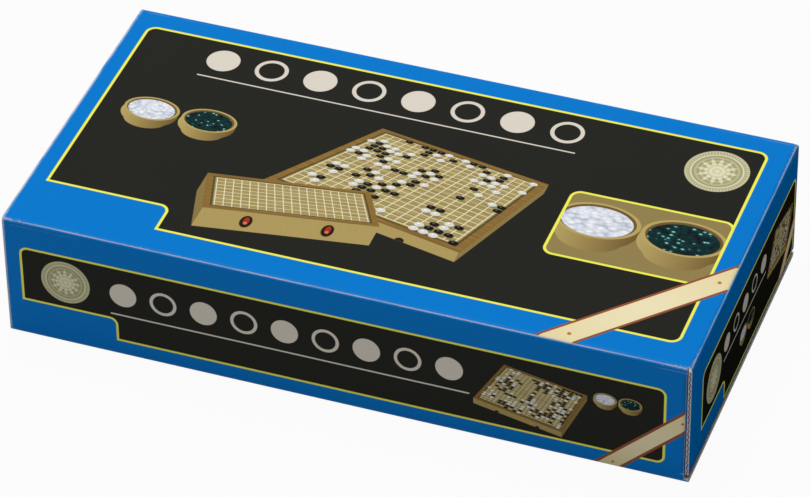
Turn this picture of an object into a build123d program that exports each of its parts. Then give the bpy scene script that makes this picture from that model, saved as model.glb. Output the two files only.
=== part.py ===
"""A boxed go set: a printed tuck-end carton of corrugated board with a folding go board case inside it.

The wooden case is two shallow halves, playing faces outwards, folding on two brass hinges along the back and
held by two brass hooks on the front. It holds a lidded stone box with a compartment for each colour.

Frame: origin at the centre of the carton's underside, +X along its length towards the closed end, +Y towards
its back, +Z up. Millimetres.
"""

import math
import os

from build123d import *

# ---- the folding board case ------------------------------------------------------------------------------
CASE_LENGTH = 316.0  # side of the square board when it is unfolded
HALF_HEIGHT = 30.0  # one half, from the seam to the top of its rails
RAIL_WIDTH = 11.0
FOLD_WALL = 12.0  # wall along the fold, under the playing panel
PANEL_THICKNESS = 4.0
PANEL_RECESS = 2.0  # playing face below the top of the rails
TONGUE_DEPTH = 4.0  # how far the panel reaches into the rails
TONGUE_CLEARANCE = 0.3  # at the end of the tongue
SHADOW_WIDTH = 1.5  # sunk line between the playing face and the rails
SHADOW_DEPTH = 1.2
GLUE_LINE = 0.1  # play between a tongue and its groove
RAIL_ROUNDING = 1.0

# ---- the hook latches ------------------------------------------------------------------------------------
LATCH_SPACING = 164.0  # between the two latches, along the front
POCKET_WIDTH = 12.0
POCKET_HEIGHT = 28.0
POCKET_DEPTH = 2.0
LATCH_REACH = 14.0  # from the pivot screw to the catch screw
HOOK_THICKNESS = 0.8
HOOK_STANDOFF = 0.3  # hook's back in front of the wood
HOOK_PIVOT_RADIUS = 3.2
HOOK_TIP_RADIUS = 4.6
LATCH_SCREW_RADIUS = 1.2
LATCH_SCREW_LENGTH = 7.0  # in the wood
LATCH_HEAD_RADIUS = 3.0
LATCH_HEAD_THICKNESS = 0.8
LATCH_COLLAR_RADIUS = 2.2
HOOK_SIDE_PLAY = 0.1  # between the hook and the head or collar
PIVOT_PLAY = 0.05  # radial, hook on its screw
CATCH_PLAY = 0.3  # radial, hook round the catch screw

# ---- the butt hinges -------------------------------------------------------------------------------------
HINGE_SPACING = 190.0
HINGE_LENGTH = 28.0
LEAF_WIDTH = 8.0
LEAF_THICKNESS = 1.0
KNUCKLE_RADIUS = 1.8
HINGE_PIN_RADIUS = 0.9
HINGE_PLAY = 0.05  # radial, pin in its knuckles
KNUCKLE_GAP = 0.2
HINGE_SCREW_RADIUS = 0.9
HINGE_SCREW_HEAD_RADIUS = 1.7
HINGE_SCREW_LENGTH = 7.0
HINGE_SCREW_SPACING = 16.0
SCREW_PLAY = 0.02

# ---- the stone box ---------------------------------------------------------------------------------------
BOX_LENGTH = 140.0
BOX_SIDE_PLAY = 7.0  # to the wall along the fold
BOX_HEADROOM = 4.0  # to the playing panel above
BOX_WALL = 4.0
BOX_FLOOR = 3.0
BOX_BEVEL = 1.2
LIP_HEIGHT = 2.5  # the tray's inner lip, which centres the lid
LIP_PLAY = 0.2

# ---- the stones ------------------------------------------------------------------------------------------
STONE_DIAMETER = 12.0
STONE_THICKNESS = 4.5
STONE_RIM = 0.6  # flat height of the rim
STONE_PLAY = 0.1  # between neighbours

# ---- the carton ------------------------------------------------------------------------------------------
BOARD = 1.5  # corrugated board
FOLD_RADIUS = 2.2  # outside radius of the long folds
SCORE_RADIUS = 1.3  # outside radius of the folds of the flaps
MOUTH_SETBACK = 4.5  # case behind the open end
END_CLEARANCE = 1.2  # case to the dust flaps
SIDE_CLEARANCE = 2.5  # case to the folded-in dust flaps
HEADROOM = 0.4  # case to the top panel
TUCK_LENGTH = 28.0
TUCK_GAP = 1.4  # under the tuck flap, room for its swing
CASE_GAP = 0.2  # tuck flap to the case
FLAP_GAP = 0.3  # closure panel to the dust flaps
FLAP_LENGTH = 48.0
FLAP_TOP_TAPER = 32.0  # degrees
FLAP_BOTTOM_TAPER = 12.0  # degrees
FLAP_HEADROOM = 0.6
FLAP_CORNER = 4.0
CLOSURE_INSET = 0.4  # closure panel's ends behind the front and back
TUCK_INSET = 3.0
TUCK_CORNER = 6.0
GLUE_FLAP_HEIGHT = 30.0
GLUE_FLAP_GAP = 3.0  # from the folded-in dust flap

# ---- worked out: the carton round the case ---------------------------------------------------------------
CASE_WIDTH = CASE_LENGTH / 2
CASE_HEIGHT = 2 * HALF_HEIGHT
CASE_BOTTOM = BOARD + TUCK_GAP + BOARD + CASE_GAP
CARTON_LENGTH = MOUTH_SETBACK + CASE_LENGTH + END_CLEARANCE + BOARD + FLAP_GAP + BOARD
CARTON_WIDTH = CASE_WIDTH + 2 * (SIDE_CLEARANCE + 2 * BOARD)
CARTON_HEIGHT = CASE_BOTTOM + CASE_HEIGHT + HEADROOM + BOARD

RIGHT = CARTON_LENGTH / 2
LEFT = -RIGHT
BACK = CARTON_WIDTH / 2
FRONT = -BACK
CLOSURE_INNER = RIGHT - BOARD
FLAP_OUTER = CLOSURE_INNER - FLAP_GAP
FLAP_INNER = FLAP_OUTER - BOARD
TUCK_UNDER = BOARD + TUCK_GAP
TUCK_TOP = TUCK_UNDER + BOARD

CASE_LEFT = LEFT + MOUTH_SETBACK
CASE_RIGHT = CASE_LEFT + CASE_LENGTH
CASE_MIDDLE = (CASE_LEFT + CASE_RIGHT) / 2
CASE_FRONT = -CASE_WIDTH / 2
CASE_BACK = CASE_WIDTH / 2
SEAM = CASE_BOTTOM + HALF_HEIGHT

# ---- worked out: the stone box in the case ---------------------------------------------------------------
BOX_WIDTH = CASE_WIDTH - 2 * (FOLD_WALL + BOX_SIDE_PLAY)
CAVITY_HEIGHT = CASE_HEIGHT - 2 * (PANEL_RECESS + PANEL_THICKNESS)
TRAY_HEIGHT = (CAVITY_HEIGHT - BOX_HEADROOM) / 2
LID_HEIGHT = CAVITY_HEIGHT - BOX_HEADROOM - TRAY_HEIGHT

UPPER = 1
LOWER = -1
HALVES = {"upper": UPPER, "lower": LOWER}
LATCHES = {"left": CASE_MIDDLE - LATCH_SPACING / 2, "right": CASE_MIDDLE + LATCH_SPACING / 2}
HINGES = (CASE_MIDDLE - HINGE_SPACING / 2, CASE_MIDDLE + HINGE_SPACING / 2)


def save(piece, name):
    """Label a finished piece and write it as its own STEP file."""
    piece.part.label = name
    export_step(piece.part, f"parts/{name}.step")


def block(x_span, y_span, z_span, mode=Mode.ADD):
    """A square-edged block between three pairs of limits, added to the part being built."""
    spans = (x_span, y_span, z_span)
    with Locations(tuple(sum(span) / 2 for span in spans)):
        Box(*[abs(span[1] - span[0]) for span in spans], mode=mode)


def rod(x, z, radius, y_span, mode=Mode.ADD):
    """A round bar along Y, between two values of y."""
    with Locations((x, sum(y_span) / 2, z)):
        Cylinder(radius, abs(y_span[1] - y_span[0]), rotation=(90, 0, 0), mode=mode)


def barrel(x_span, y, z, radius, mode=Mode.ADD):
    """A round bar along X, between two values of x."""
    with Locations((sum(x_span) / 2, y, z)):
        Cylinder(radius, abs(x_span[1] - x_span[0]), rotation=(0, 90, 0), mode=mode)


def stud(x, y, radius, z_span, mode=Mode.ADD):
    """A round bar along Z, between two values of z."""
    with Locations((x, y, sum(z_span) / 2)):
        Cylinder(radius, abs(z_span[1] - z_span[0]), mode=mode)


# ---- the board halves ------------------------------------------------------------------------------------


def rail_section(half):
    """Section of a rail, x inwards from its outer face and y up from the seam, grooved for the panel."""
    groove_floor = HALF_HEIGHT - PANEL_RECESS - PANEL_THICKNESS
    groove_roof = HALF_HEIGHT - PANEL_RECESS - SHADOW_DEPTH
    groove_end = RAIL_WIDTH - TONGUE_DEPTH
    with BuildSketch() as section:
        with BuildLine():
            Polyline(
                (0, 0),
                (0, half * HALF_HEIGHT),
                (RAIL_WIDTH, half * HALF_HEIGHT),
                (RAIL_WIDTH, half * groove_roof),
                (groove_end, half * groove_roof),
                (groove_end, half * groove_floor),
                (RAIL_WIDTH, half * groove_floor),
                (RAIL_WIDTH, 0),
                close=True,
            )
        make_face()
    return section.sketch


def front_rail(half):
    """The rail opposite the fold, mitred at both ends, with the latch pockets."""
    with BuildPart() as rail:
        with BuildSketch(Plane(origin=(CASE_MIDDLE, CASE_FRONT, SEAM), x_dir=(0, 1, 0), z_dir=(1, 0, 0))):
            add(rail_section(half))
        extrude(amount=CASE_LENGTH / 2, both=True)
        split(bisect_by=Plane(origin=(CASE_LEFT, CASE_FRONT, 0), z_dir=(1, -1, 0)), keep=Keep.TOP)
        split(bisect_by=Plane(origin=(CASE_RIGHT, CASE_FRONT, 0), z_dir=(-1, -1, 0)), keep=Keep.TOP)
        outer = rail.edges().filter_by(Axis.X).group_by(Axis.Z)[-1 if half == UPPER else 0]
        fillet(outer, RAIL_ROUNDING)
        with BuildSketch(Plane(origin=(CASE_MIDDLE, CASE_FRONT, SEAM), x_dir=(1, 0, 0), z_dir=(0, -1, 0))):
            with GridLocations(LATCH_SPACING, 0, 2, 1):
                SlotOverall(POCKET_HEIGHT, POCKET_WIDTH, rotation=90)
        extrude(amount=-POCKET_DEPTH, mode=Mode.SUBTRACT)
        hole = (CASE_FRONT + POCKET_DEPTH, CASE_FRONT + POCKET_DEPTH + LATCH_SCREW_LENGTH + SCREW_PLAY)
        for x in LATCHES.values():
            screw_z = SEAM + half * LATCH_REACH / 2
            rod(x, screw_z, LATCH_SCREW_RADIUS + SCREW_PLAY, hole, mode=Mode.SUBTRACT)
    return rail


def end_rail(half, corner_x, inward):
    """A rail along an end of the case, mitred at the front and square at the fold."""
    plane = Plane(origin=(corner_x, 0, SEAM), x_dir=(inward, 0, 0), z_dir=(0, -inward, 0))
    with BuildPart() as rail:
        with BuildSketch(plane):
            add(rail_section(half))
        extrude(amount=CASE_WIDTH / 2, both=True)
        split(bisect_by=Plane(origin=(corner_x, CASE_FRONT, 0), z_dir=(-inward, 1, 0)), keep=Keep.TOP)
        outer = rail.edges().filter_by(Axis.Y).group_by(Axis.Z)[-1 if half == UPPER else 0]
        fillet(outer, RAIL_ROUNDING)
    return rail


def fold_rail(half):
    """The wall along the fold, under the playing panel, mortised for the hinges."""
    top = HALF_HEIGHT - PANEL_RECESS - PANEL_THICKNESS
    with BuildPart() as rail:
        block(
            (CASE_LEFT + RAIL_WIDTH, CASE_RIGHT - RAIL_WIDTH),
            (CASE_BACK - FOLD_WALL, CASE_BACK),
            (SEAM, SEAM + half * top),
        )
        for x in HINGES:
            mortise = (x - HINGE_LENGTH / 2 - KNUCKLE_GAP, x + HINGE_LENGTH / 2 + KNUCKLE_GAP)
            leaf = (CASE_BACK - LEAF_WIDTH - KNUCKLE_GAP, CASE_BACK)
            block(mortise, leaf, (SEAM, SEAM + half * LEAF_THICKNESS), mode=Mode.SUBTRACT)
            barrel(mortise, CASE_BACK, SEAM, KNUCKLE_RADIUS + KNUCKLE_GAP, mode=Mode.SUBTRACT)
            for screw_x, screw_y in hinge_screw_places(x):
                hole = (SEAM, SEAM + half * (HINGE_SCREW_LENGTH + SCREW_PLAY))
                stud(screw_x, screw_y, HINGE_SCREW_RADIUS + SCREW_PLAY, hole, mode=Mode.SUBTRACT)
    return rail


def playing_panel(half):
    """Half of the playing surface: a panel with a tongue on three sides and a flush edge at the fold."""
    tongue_out = RAIL_WIDTH - TONGUE_DEPTH + TONGUE_CLEARANCE
    face_out = RAIL_WIDTH + SHADOW_WIDTH
    inner = HALF_HEIGHT - PANEL_RECESS - PANEL_THICKNESS
    tongue = inner + PANEL_THICKNESS - SHADOW_DEPTH - GLUE_LINE
    face = inner + PANEL_THICKNESS
    with BuildPart() as panel:
        block(
            (CASE_LEFT + tongue_out, CASE_RIGHT - tongue_out),
            (CASE_FRONT + tongue_out, CASE_BACK),
            (SEAM + half * inner, SEAM + half * tongue),
        )
        block(
            (CASE_LEFT + face_out, CASE_RIGHT - face_out),
            (CASE_FRONT + face_out, CASE_BACK),
            (SEAM + half * inner, SEAM + half * face),
        )
    return panel


# ---- hinges and latches ----------------------------------------------------------------------------------


def hinge_screw_places(x):
    """The two screws of one leaf of the hinge centred at x, as (x, y) pairs."""
    y = CASE_BACK - (KNUCKLE_RADIUS + LEAF_WIDTH) / 2
    return [(x - HINGE_SCREW_SPACING / 2, y), (x + HINGE_SCREW_SPACING / 2, y)]


def knuckle_spans(x):
    """Three knuckles along a hinge, from left to right, with a gap between neighbours."""
    step = HINGE_LENGTH / 3
    start = x - HINGE_LENGTH / 2
    return [(start + i * step + KNUCKLE_GAP / 2, start + (i + 1) * step - KNUCKLE_GAP / 2) for i in range(3)]


def hinge_leaves(half):
    """Both hinges' leaves on one half: the middle knuckle is the upper leaf's, the outer two the lower's."""
    own = [1] if half == UPPER else [0, 2]
    with BuildPart() as leaves:
        for x in HINGES:
            span = (x - HINGE_LENGTH / 2, x + HINGE_LENGTH / 2)
            block(span, (CASE_BACK - LEAF_WIDTH, CASE_BACK), (SEAM, SEAM + half * LEAF_THICKNESS))
            for i, (start, end) in enumerate(knuckle_spans(x)):
                clear = (start - KNUCKLE_GAP, end + KNUCKLE_GAP)
                if i not in own:
                    barrel(clear, CASE_BACK, SEAM, KNUCKLE_RADIUS + KNUCKLE_GAP, mode=Mode.SUBTRACT)
            for i in own:
                barrel(knuckle_spans(x)[i], CASE_BACK, SEAM, KNUCKLE_RADIUS)
                low, high = (SEAM - KNUCKLE_RADIUS, SEAM) if half == UPPER else (SEAM, SEAM + KNUCKLE_RADIUS)
                behind = (CASE_BACK - LEAF_WIDTH, CASE_BACK - KNUCKLE_RADIUS)
                block(knuckle_spans(x)[i], behind, (low, high), mode=Mode.SUBTRACT)
            barrel(span, CASE_BACK, SEAM, HINGE_PIN_RADIUS + HINGE_PLAY, mode=Mode.SUBTRACT)
            for screw_x, screw_y in hinge_screw_places(x):
                tip = SEAM + half * LEAF_THICKNESS
                with BuildSketch(Plane.XY.offset(SEAM)):
                    with Locations((screw_x, screw_y)):
                        Circle(HINGE_SCREW_HEAD_RADIUS + SCREW_PLAY)
                with BuildSketch(Plane.XY.offset(tip)):
                    with Locations((screw_x, screw_y)):
                        Circle(HINGE_SCREW_RADIUS + SCREW_PLAY)
                loft(mode=Mode.SUBTRACT)
    return leaves


def hinge_pins():
    """The pin of each hinge, a little shorter than its knuckles."""
    with BuildPart() as pins:
        for x in HINGES:
            reach = HINGE_LENGTH / 2 - KNUCKLE_GAP
            barrel((x - reach, x + reach), CASE_BACK, SEAM, HINGE_PIN_RADIUS)
    return pins


def hinge_screws():
    """Countersunk screws that hold the leaves in both halves."""
    with BuildPart() as screws:
        for half in HALVES.values():
            for x in HINGES:
                for screw_x, screw_y in hinge_screw_places(x):
                    with BuildSketch(Plane.XY.offset(SEAM + half * SCREW_PLAY)):
                        with Locations((screw_x, screw_y)):
                            Circle(HINGE_SCREW_HEAD_RADIUS)
                    with BuildSketch(Plane.XY.offset(SEAM + half * LEAF_THICKNESS)):
                        with Locations((screw_x, screw_y)):
                            Circle(HINGE_SCREW_RADIUS)
                    loft()
                    shank = (SEAM + half * LEAF_THICKNESS, SEAM + half * HINGE_SCREW_LENGTH)
                    stud(screw_x, screw_y, HINGE_SCREW_RADIUS, shank)
    return screws


HOOK_BACK = CASE_FRONT - HOOK_STANDOFF
HOOK_FACE = HOOK_BACK - HOOK_THICKNESS
HEAD_BACK = HOOK_FACE - HOOK_SIDE_PLAY


def latch_screws(half):
    """Round-headed screws in the latch pockets of one half, each with a collar behind the hook."""
    z = SEAM + half * LATCH_REACH / 2
    floor_y = CASE_FRONT + POCKET_DEPTH
    with BuildPart() as screws:
        for x in LATCHES.values():
            rod(x, z, LATCH_SCREW_RADIUS, (HEAD_BACK, floor_y + LATCH_SCREW_LENGTH))
            rod(x, z, LATCH_COLLAR_RADIUS, (HOOK_BACK + HOOK_SIDE_PLAY, floor_y))
            rod(x, z, LATCH_HEAD_RADIUS, (HEAD_BACK - LATCH_HEAD_THICKNESS, HEAD_BACK))
        heads = screws.edges().filter_by(GeomType.CIRCLE).group_by(Axis.Y)[0]
        fillet(heads, LATCH_HEAD_THICKNESS / 2)
    return screws


def latch_hook(x):
    """A teardrop hook: it hangs on the upper screw, and its side slot takes the neck of the lower one."""
    plane = Plane(origin=(x, HOOK_BACK, SEAM + LATCH_REACH / 2), x_dir=(1, 0, 0), z_dir=(0, -1, 0))
    neck = LATCH_SCREW_RADIUS + CATCH_PLAY
    with BuildPart() as hook:
        with BuildSketch(plane):
            Circle(HOOK_PIVOT_RADIUS)
            with Locations((0, -LATCH_REACH)):
                Circle(HOOK_TIP_RADIUS)
            make_hull()
            with Locations((0, -LATCH_REACH)):
                Circle(neck, mode=Mode.SUBTRACT)
            Circle(LATCH_SCREW_RADIUS + PIVOT_PLAY, mode=Mode.SUBTRACT)
        extrude(amount=HOOK_THICKNESS)
        with BuildSketch(plane):
            Circle(LATCH_REACH + neck)
            Circle(LATCH_REACH - neck, mode=Mode.SUBTRACT)
            with Locations((HOOK_TIP_RADIUS, -LATCH_REACH)):
                Rectangle(2 * HOOK_TIP_RADIUS, 2 * HOOK_TIP_RADIUS, mode=Mode.INTERSECT)
        extrude(amount=HOOK_THICKNESS, mode=Mode.SUBTRACT)
    return hook


# ---- the stone box ---------------------------------------------------------------------------------------

BOX_BOTTOM = CASE_BOTTOM + PANEL_RECESS + PANEL_THICKNESS
TRAY_RIM = BOX_BOTTOM + TRAY_HEIGHT
LID_TOP = TRAY_RIM + LID_HEIGHT
LIP_WALL = BOX_WALL / 2


def tray_section():
    """Section of a tray wall, x inwards from its outer face, with the lip that centres the lid."""
    lip_face = BOX_WALL - LIP_WALL + LIP_PLAY
    with BuildSketch() as section:
        with BuildLine():
            Polyline(
                (BOX_BEVEL, 0),
                (0, BOX_BEVEL),
                (0, TRAY_HEIGHT),
                (lip_face, TRAY_HEIGHT),
                (lip_face, TRAY_HEIGHT + LIP_HEIGHT),
                (BOX_WALL, TRAY_HEIGHT + LIP_HEIGHT),
                (BOX_WALL, 0),
                close=True,
            )
        make_face()
    return section.sketch


def lid_section():
    """Section of a lid wall, x inwards from its outer face, rebated over the tray's lip."""
    rebate_top = TRAY_HEIGHT + LIP_HEIGHT + LIP_PLAY
    with BuildSketch() as section:
        with BuildLine():
            Polyline(
                (0, TRAY_HEIGHT),
                (0, TRAY_HEIGHT + LID_HEIGHT - BOX_BEVEL),
                (BOX_BEVEL, TRAY_HEIGHT + LID_HEIGHT),
                (BOX_WALL, TRAY_HEIGHT + LID_HEIGHT),
                (BOX_WALL, rebate_top),
                (BOX_WALL - LIP_WALL, rebate_top),
                (BOX_WALL - LIP_WALL, TRAY_HEIGHT),
                close=True,
            )
        make_face()
    return section.sketch


def box_wall(section, length, distance, turn):
    """One mitred wall of the stone box, turned about the box's centre by turn degrees."""
    along = Vector(1, 0, 0).rotate(Axis.Z, turn)
    inward = Vector(0, 1, 0).rotate(Axis.Z, turn)
    middle = Vector(CASE_MIDDLE, 0, BOX_BOTTOM) - inward * distance
    with BuildPart() as wall:
        with BuildSketch(Plane(origin=middle, x_dir=inward, z_dir=along)):
            add(section)
        extrude(amount=length / 2, both=True)
        for end in (-1, 1):
            corner = middle + along * (end * length / 2)
            split(bisect_by=Plane(origin=corner, z_dir=along * -end - inward), keep=Keep.TOP)
    return wall


def box_walls(section, length, distance, turn):
    """A facing pair of walls of the stone box."""
    pair = [box_wall(section, length, distance, turn + side) for side in (0, 180)]
    with BuildPart() as walls:
        for wall in pair:
            add(wall.part)
    return walls


def box_floor(z_span):
    """A panel glued between the four walls of the stone box."""
    with BuildPart() as panel:
        reach_x = BOX_LENGTH / 2 - BOX_WALL
        reach_y = BOX_WIDTH / 2 - BOX_WALL
        block((CASE_MIDDLE - reach_x, CASE_MIDDLE + reach_x), (-reach_y, reach_y), z_span)
    return panel


def tray_divider():
    """The wall between the two colours."""
    reach_y = BOX_WIDTH / 2 - BOX_WALL
    with BuildPart() as divider:
        block(
            (CASE_MIDDLE - BOX_WALL / 2, CASE_MIDDLE + BOX_WALL / 2),
            (-reach_y, reach_y),
            (BOX_BOTTOM + BOX_FLOOR, TRAY_RIM),
        )
    return divider


def stone_dome(pole_height, side):
    """Three points of one domed face of a stone, from its pole to its rim."""
    radius = STONE_DIAMETER / 2
    rim = STONE_THICKNESS / 2 + side * STONE_RIM / 2
    rise = abs(pole_height - rim)
    dome_radius = (radius**2 + rise**2) / (2 * rise)
    half_way_drop = dome_radius - math.sqrt(dome_radius**2 - (radius / 2) ** 2)
    return (0, pole_height), (radius / 2, pole_height - side * half_way_drop), (radius, rim)


def one_stone():
    """A glass stone, domed on both faces, standing on its pole at the origin."""
    upper = stone_dome(STONE_THICKNESS, 1)
    lower = stone_dome(0, -1)
    with BuildPart() as stone:
        with BuildSketch(Plane.XZ):
            with BuildLine():
                Line(lower[0], upper[0])
                ThreePointArc(*upper)
                Line(upper[-1], lower[-1])
                ThreePointArc(*lower)
            make_face()
        revolve(axis=Axis.Z)
    return stone


def stones(side):
    """One colour of stones, laid in rows and layers that fill its compartment to the rim."""
    room_x = BOX_LENGTH / 2 - 1.5 * BOX_WALL
    room_y = BOX_WIDTH - 2 * BOX_WALL
    room_z = TRAY_HEIGHT - BOX_FLOOR
    columns = int(room_x // (STONE_DIAMETER + STONE_PLAY))
    rows = int(room_y // (STONE_DIAMETER + STONE_PLAY))
    layer_height = STONE_THICKNESS + STONE_PLAY
    layers = int(room_z // layer_height)
    centre_x = CASE_MIDDLE + side * (BOX_WALL + room_x) / 2
    stone = one_stone()
    with BuildPart() as heap:
        for layer in range(layers):
            with Locations((centre_x, 0, BOX_BOTTOM + BOX_FLOOR + layer * layer_height)):
                with GridLocations(room_x / columns, room_y / rows, columns, rows):
                    add(stone.part)
    return heap


# ---- the carton ------------------------------------------------------------------------------------------


def lid_or_floor_panel(upper):
    """The carton's top or bottom panel with the rounded folds along its front and back."""
    fold_z = CARTON_HEIGHT - FOLD_RADIUS if upper else FOLD_RADIUS
    span = (fold_z, CARTON_HEIGHT) if upper else (0, fold_z)
    end = CLOSURE_INNER if upper else RIGHT
    with BuildPart() as panel:
        with BuildSketch(Plane(origin=(LEFT, 0, CARTON_HEIGHT / 2), x_dir=(0, 1, 0), z_dir=(1, 0, 0))):
            RectangleRounded(CARTON_WIDTH, CARTON_HEIGHT, FOLD_RADIUS)
            inner = (CARTON_WIDTH - 2 * BOARD, CARTON_HEIGHT - 2 * BOARD)
            RectangleRounded(*inner, FOLD_RADIUS - BOARD, mode=Mode.SUBTRACT)
        extrude(amount=FLAP_OUTER - LEFT)
        block((LEFT, FLAP_OUTER), (FRONT, BACK), span, mode=Mode.INTERSECT)
        face = (CARTON_HEIGHT - BOARD, CARTON_HEIGHT) if upper else (0, BOARD)
        block((FLAP_OUTER, end), (FRONT + CLOSURE_INSET, BACK - CLOSURE_INSET), face)
    return panel


def side_panel(outer_y, inward):
    """The carton's front or back panel, between the long folds."""
    with BuildPart() as panel:
        wall = (outer_y, outer_y + inward * BOARD)
        block((LEFT, FLAP_INNER), wall, (FOLD_RADIUS, CARTON_HEIGHT - FOLD_RADIUS))
    return panel


def closure_panel():
    """The end panel that folds down from the top panel, with its rounded fold."""
    with BuildPart() as panel:
        block(
            (CLOSURE_INNER, RIGHT),
            (FRONT + CLOSURE_INSET, BACK - CLOSURE_INSET),
            (TUCK_UNDER, CARTON_HEIGHT),
        )
        outer = panel.edges().filter_by(Axis.Y).group_by(Axis.X)[-1]
        fillet(outer, SCORE_RADIUS)
    return panel


def tuck_flap(root_x, inward, z):
    """A tuck flap lying flat at height z: straight at its fold, rounded at its free corners."""
    half_width = BACK - 2 * BOARD - TUCK_INSET
    tip_x = root_x + inward * TUCK_LENGTH
    with BuildPart() as flap:
        with BuildSketch(Plane.XY.offset(z)):
            with BuildLine():
                Polyline(
                    (root_x, -half_width),
                    (root_x, half_width),
                    (tip_x, half_width - TUCK_INSET),
                    (tip_x, -half_width + TUCK_INSET),
                    close=True,
                )
            make_face()
        extrude(amount=BOARD)
        tips = flap.edges().filter_by(Axis.Z).group_by(Axis.X)[-1 if inward > 0 else 0]
        fillet(tips, TUCK_CORNER)
    return flap


def dust_flap(plane):
    """A tapered dust flap: x from its fold to its free edge, y up from the carton's underside."""
    low = TUCK_TOP + FLAP_GAP
    high = CARTON_HEIGHT - FOLD_RADIUS - FLAP_HEADROOM
    drop = FLAP_LENGTH * math.tan(math.radians(FLAP_TOP_TAPER))
    rise = FLAP_LENGTH * math.tan(math.radians(FLAP_BOTTOM_TAPER))
    with BuildPart() as flap:
        with BuildSketch(plane) as outline:
            with BuildLine():
                Polyline((0, low), (FLAP_LENGTH, low + rise), (FLAP_LENGTH, high - drop), (0, high), close=True)
            make_face()
            free_corners = sorted(outline.vertices(), key=lambda v: v.X)[-2:]
            fillet(free_corners, FLAP_CORNER)
        extrude(amount=BOARD)
    return flap


def glue_flap():
    """The strip that joins the sheet into a sleeve, glued inside the back panel."""
    with BuildPart() as flap:
        block(
            (LEFT + FLAP_LENGTH + GLUE_FLAP_GAP, CASE_RIGHT - GLUE_FLAP_GAP),
            (BACK - 2 * BOARD, BACK - BOARD),
            (FOLD_RADIUS, FOLD_RADIUS + GLUE_FLAP_HEIGHT),
        )
    return flap


def left_closure_panel():
    """The open end's closure panel, folded flat inside on the bottom panel."""
    with BuildPart() as panel:
        reach = TUCK_UNDER + LEFT
        half_width = BACK - 2 * BOARD - CLOSURE_INSET
        block((reach, reach + CARTON_HEIGHT - TUCK_UNDER), (-half_width, half_width), (BOARD, 2 * BOARD))
    return panel


# ---- build and write every piece -------------------------------------------------------------------------

os.makedirs("parts", exist_ok=True)

for name, half in HALVES.items():
    save(front_rail(half), f"{name}_front_rail")
    save(end_rail(half, CASE_LEFT, 1), f"{name}_left_rail")
    save(end_rail(half, CASE_RIGHT, -1), f"{name}_right_rail")
    save(fold_rail(half), f"{name}_fold_rail")
    save(playing_panel(half), f"{name}_playing_panel")
    save(hinge_leaves(half), f"{name}_hinge_leaves")
save(hinge_pins(), "hinge_pins")
save(hinge_screws(), "hinge_screws")
save(latch_screws(UPPER), "latch_pivot_screws")
save(latch_screws(LOWER), "latch_catch_screws")
for name, x in LATCHES.items():
    save(latch_hook(x), f"{name}_latch_hook")

save(box_walls(tray_section(), BOX_LENGTH, BOX_WIDTH / 2, 0), "stone_tray_long_walls")
save(box_walls(tray_section(), BOX_WIDTH, BOX_LENGTH / 2, 90), "stone_tray_end_walls")
save(box_floor((BOX_BOTTOM, BOX_BOTTOM + BOX_FLOOR)), "stone_tray_floor")
save(tray_divider(), "stone_tray_divider")
save(box_walls(lid_section(), BOX_LENGTH, BOX_WIDTH / 2, 0), "stone_lid_long_walls")
save(box_walls(lid_section(), BOX_WIDTH, BOX_LENGTH / 2, 90), "stone_lid_end_walls")
save(box_floor((LID_TOP - BOX_FLOOR, LID_TOP)), "stone_lid_panel")
save(stones(-1), "white_stones")
save(stones(1), "dark_stones")

save(lid_or_floor_panel(True), "carton_top_panel")
save(lid_or_floor_panel(False), "carton_bottom_panel")
save(side_panel(FRONT, 1), "carton_front_panel")
save(side_panel(BACK, -1), "carton_back_panel")
save(glue_flap(), "carton_glue_flap")
save(closure_panel(), "right_closure_panel")
save(tuck_flap(CLOSURE_INNER, -1, TUCK_UNDER), "right_tuck_flap")
save(left_closure_panel(), "left_closure_panel")
save(tuck_flap(LEFT + CARTON_HEIGHT, 1, BOARD), "left_tuck_flap")

right_front = Plane(origin=(FLAP_INNER, FRONT, 0), x_dir=(0, 1, 0), z_dir=(1, 0, 0))
right_back = Plane(origin=(FLAP_OUTER, BACK, 0), x_dir=(0, -1, 0), z_dir=(-1, 0, 0))
left_front = Plane(origin=(LEFT, FRONT + 2 * BOARD, 0), x_dir=(1, 0, 0), z_dir=(0, -1, 0))
left_back = Plane(origin=(LEFT, BACK - BOARD, 0), x_dir=(1, 0, 0), z_dir=(0, -1, 0))
save(dust_flap(right_front), "right_front_dust_flap")
save(dust_flap(right_back), "right_back_dust_flap")
save(dust_flap(left_front), "left_front_dust_flap")
save(dust_flap(left_back), "left_back_dust_flap")
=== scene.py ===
"""Looks of a boxed go set: a printed carton of corrugated board round a folding wooden board case.

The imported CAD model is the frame. The carton's sheets are rebuilt as thin folded skins whose print
is drawn by shader nodes in millimetres of each face; the wooden case, its fittings and the stones
get their finishes.
"""

from __future__ import annotations

import logging
import math
from dataclasses import dataclass, field
from enum import Enum

import bmesh
import bpy
from mathutils import Matrix, Vector, noise

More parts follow.
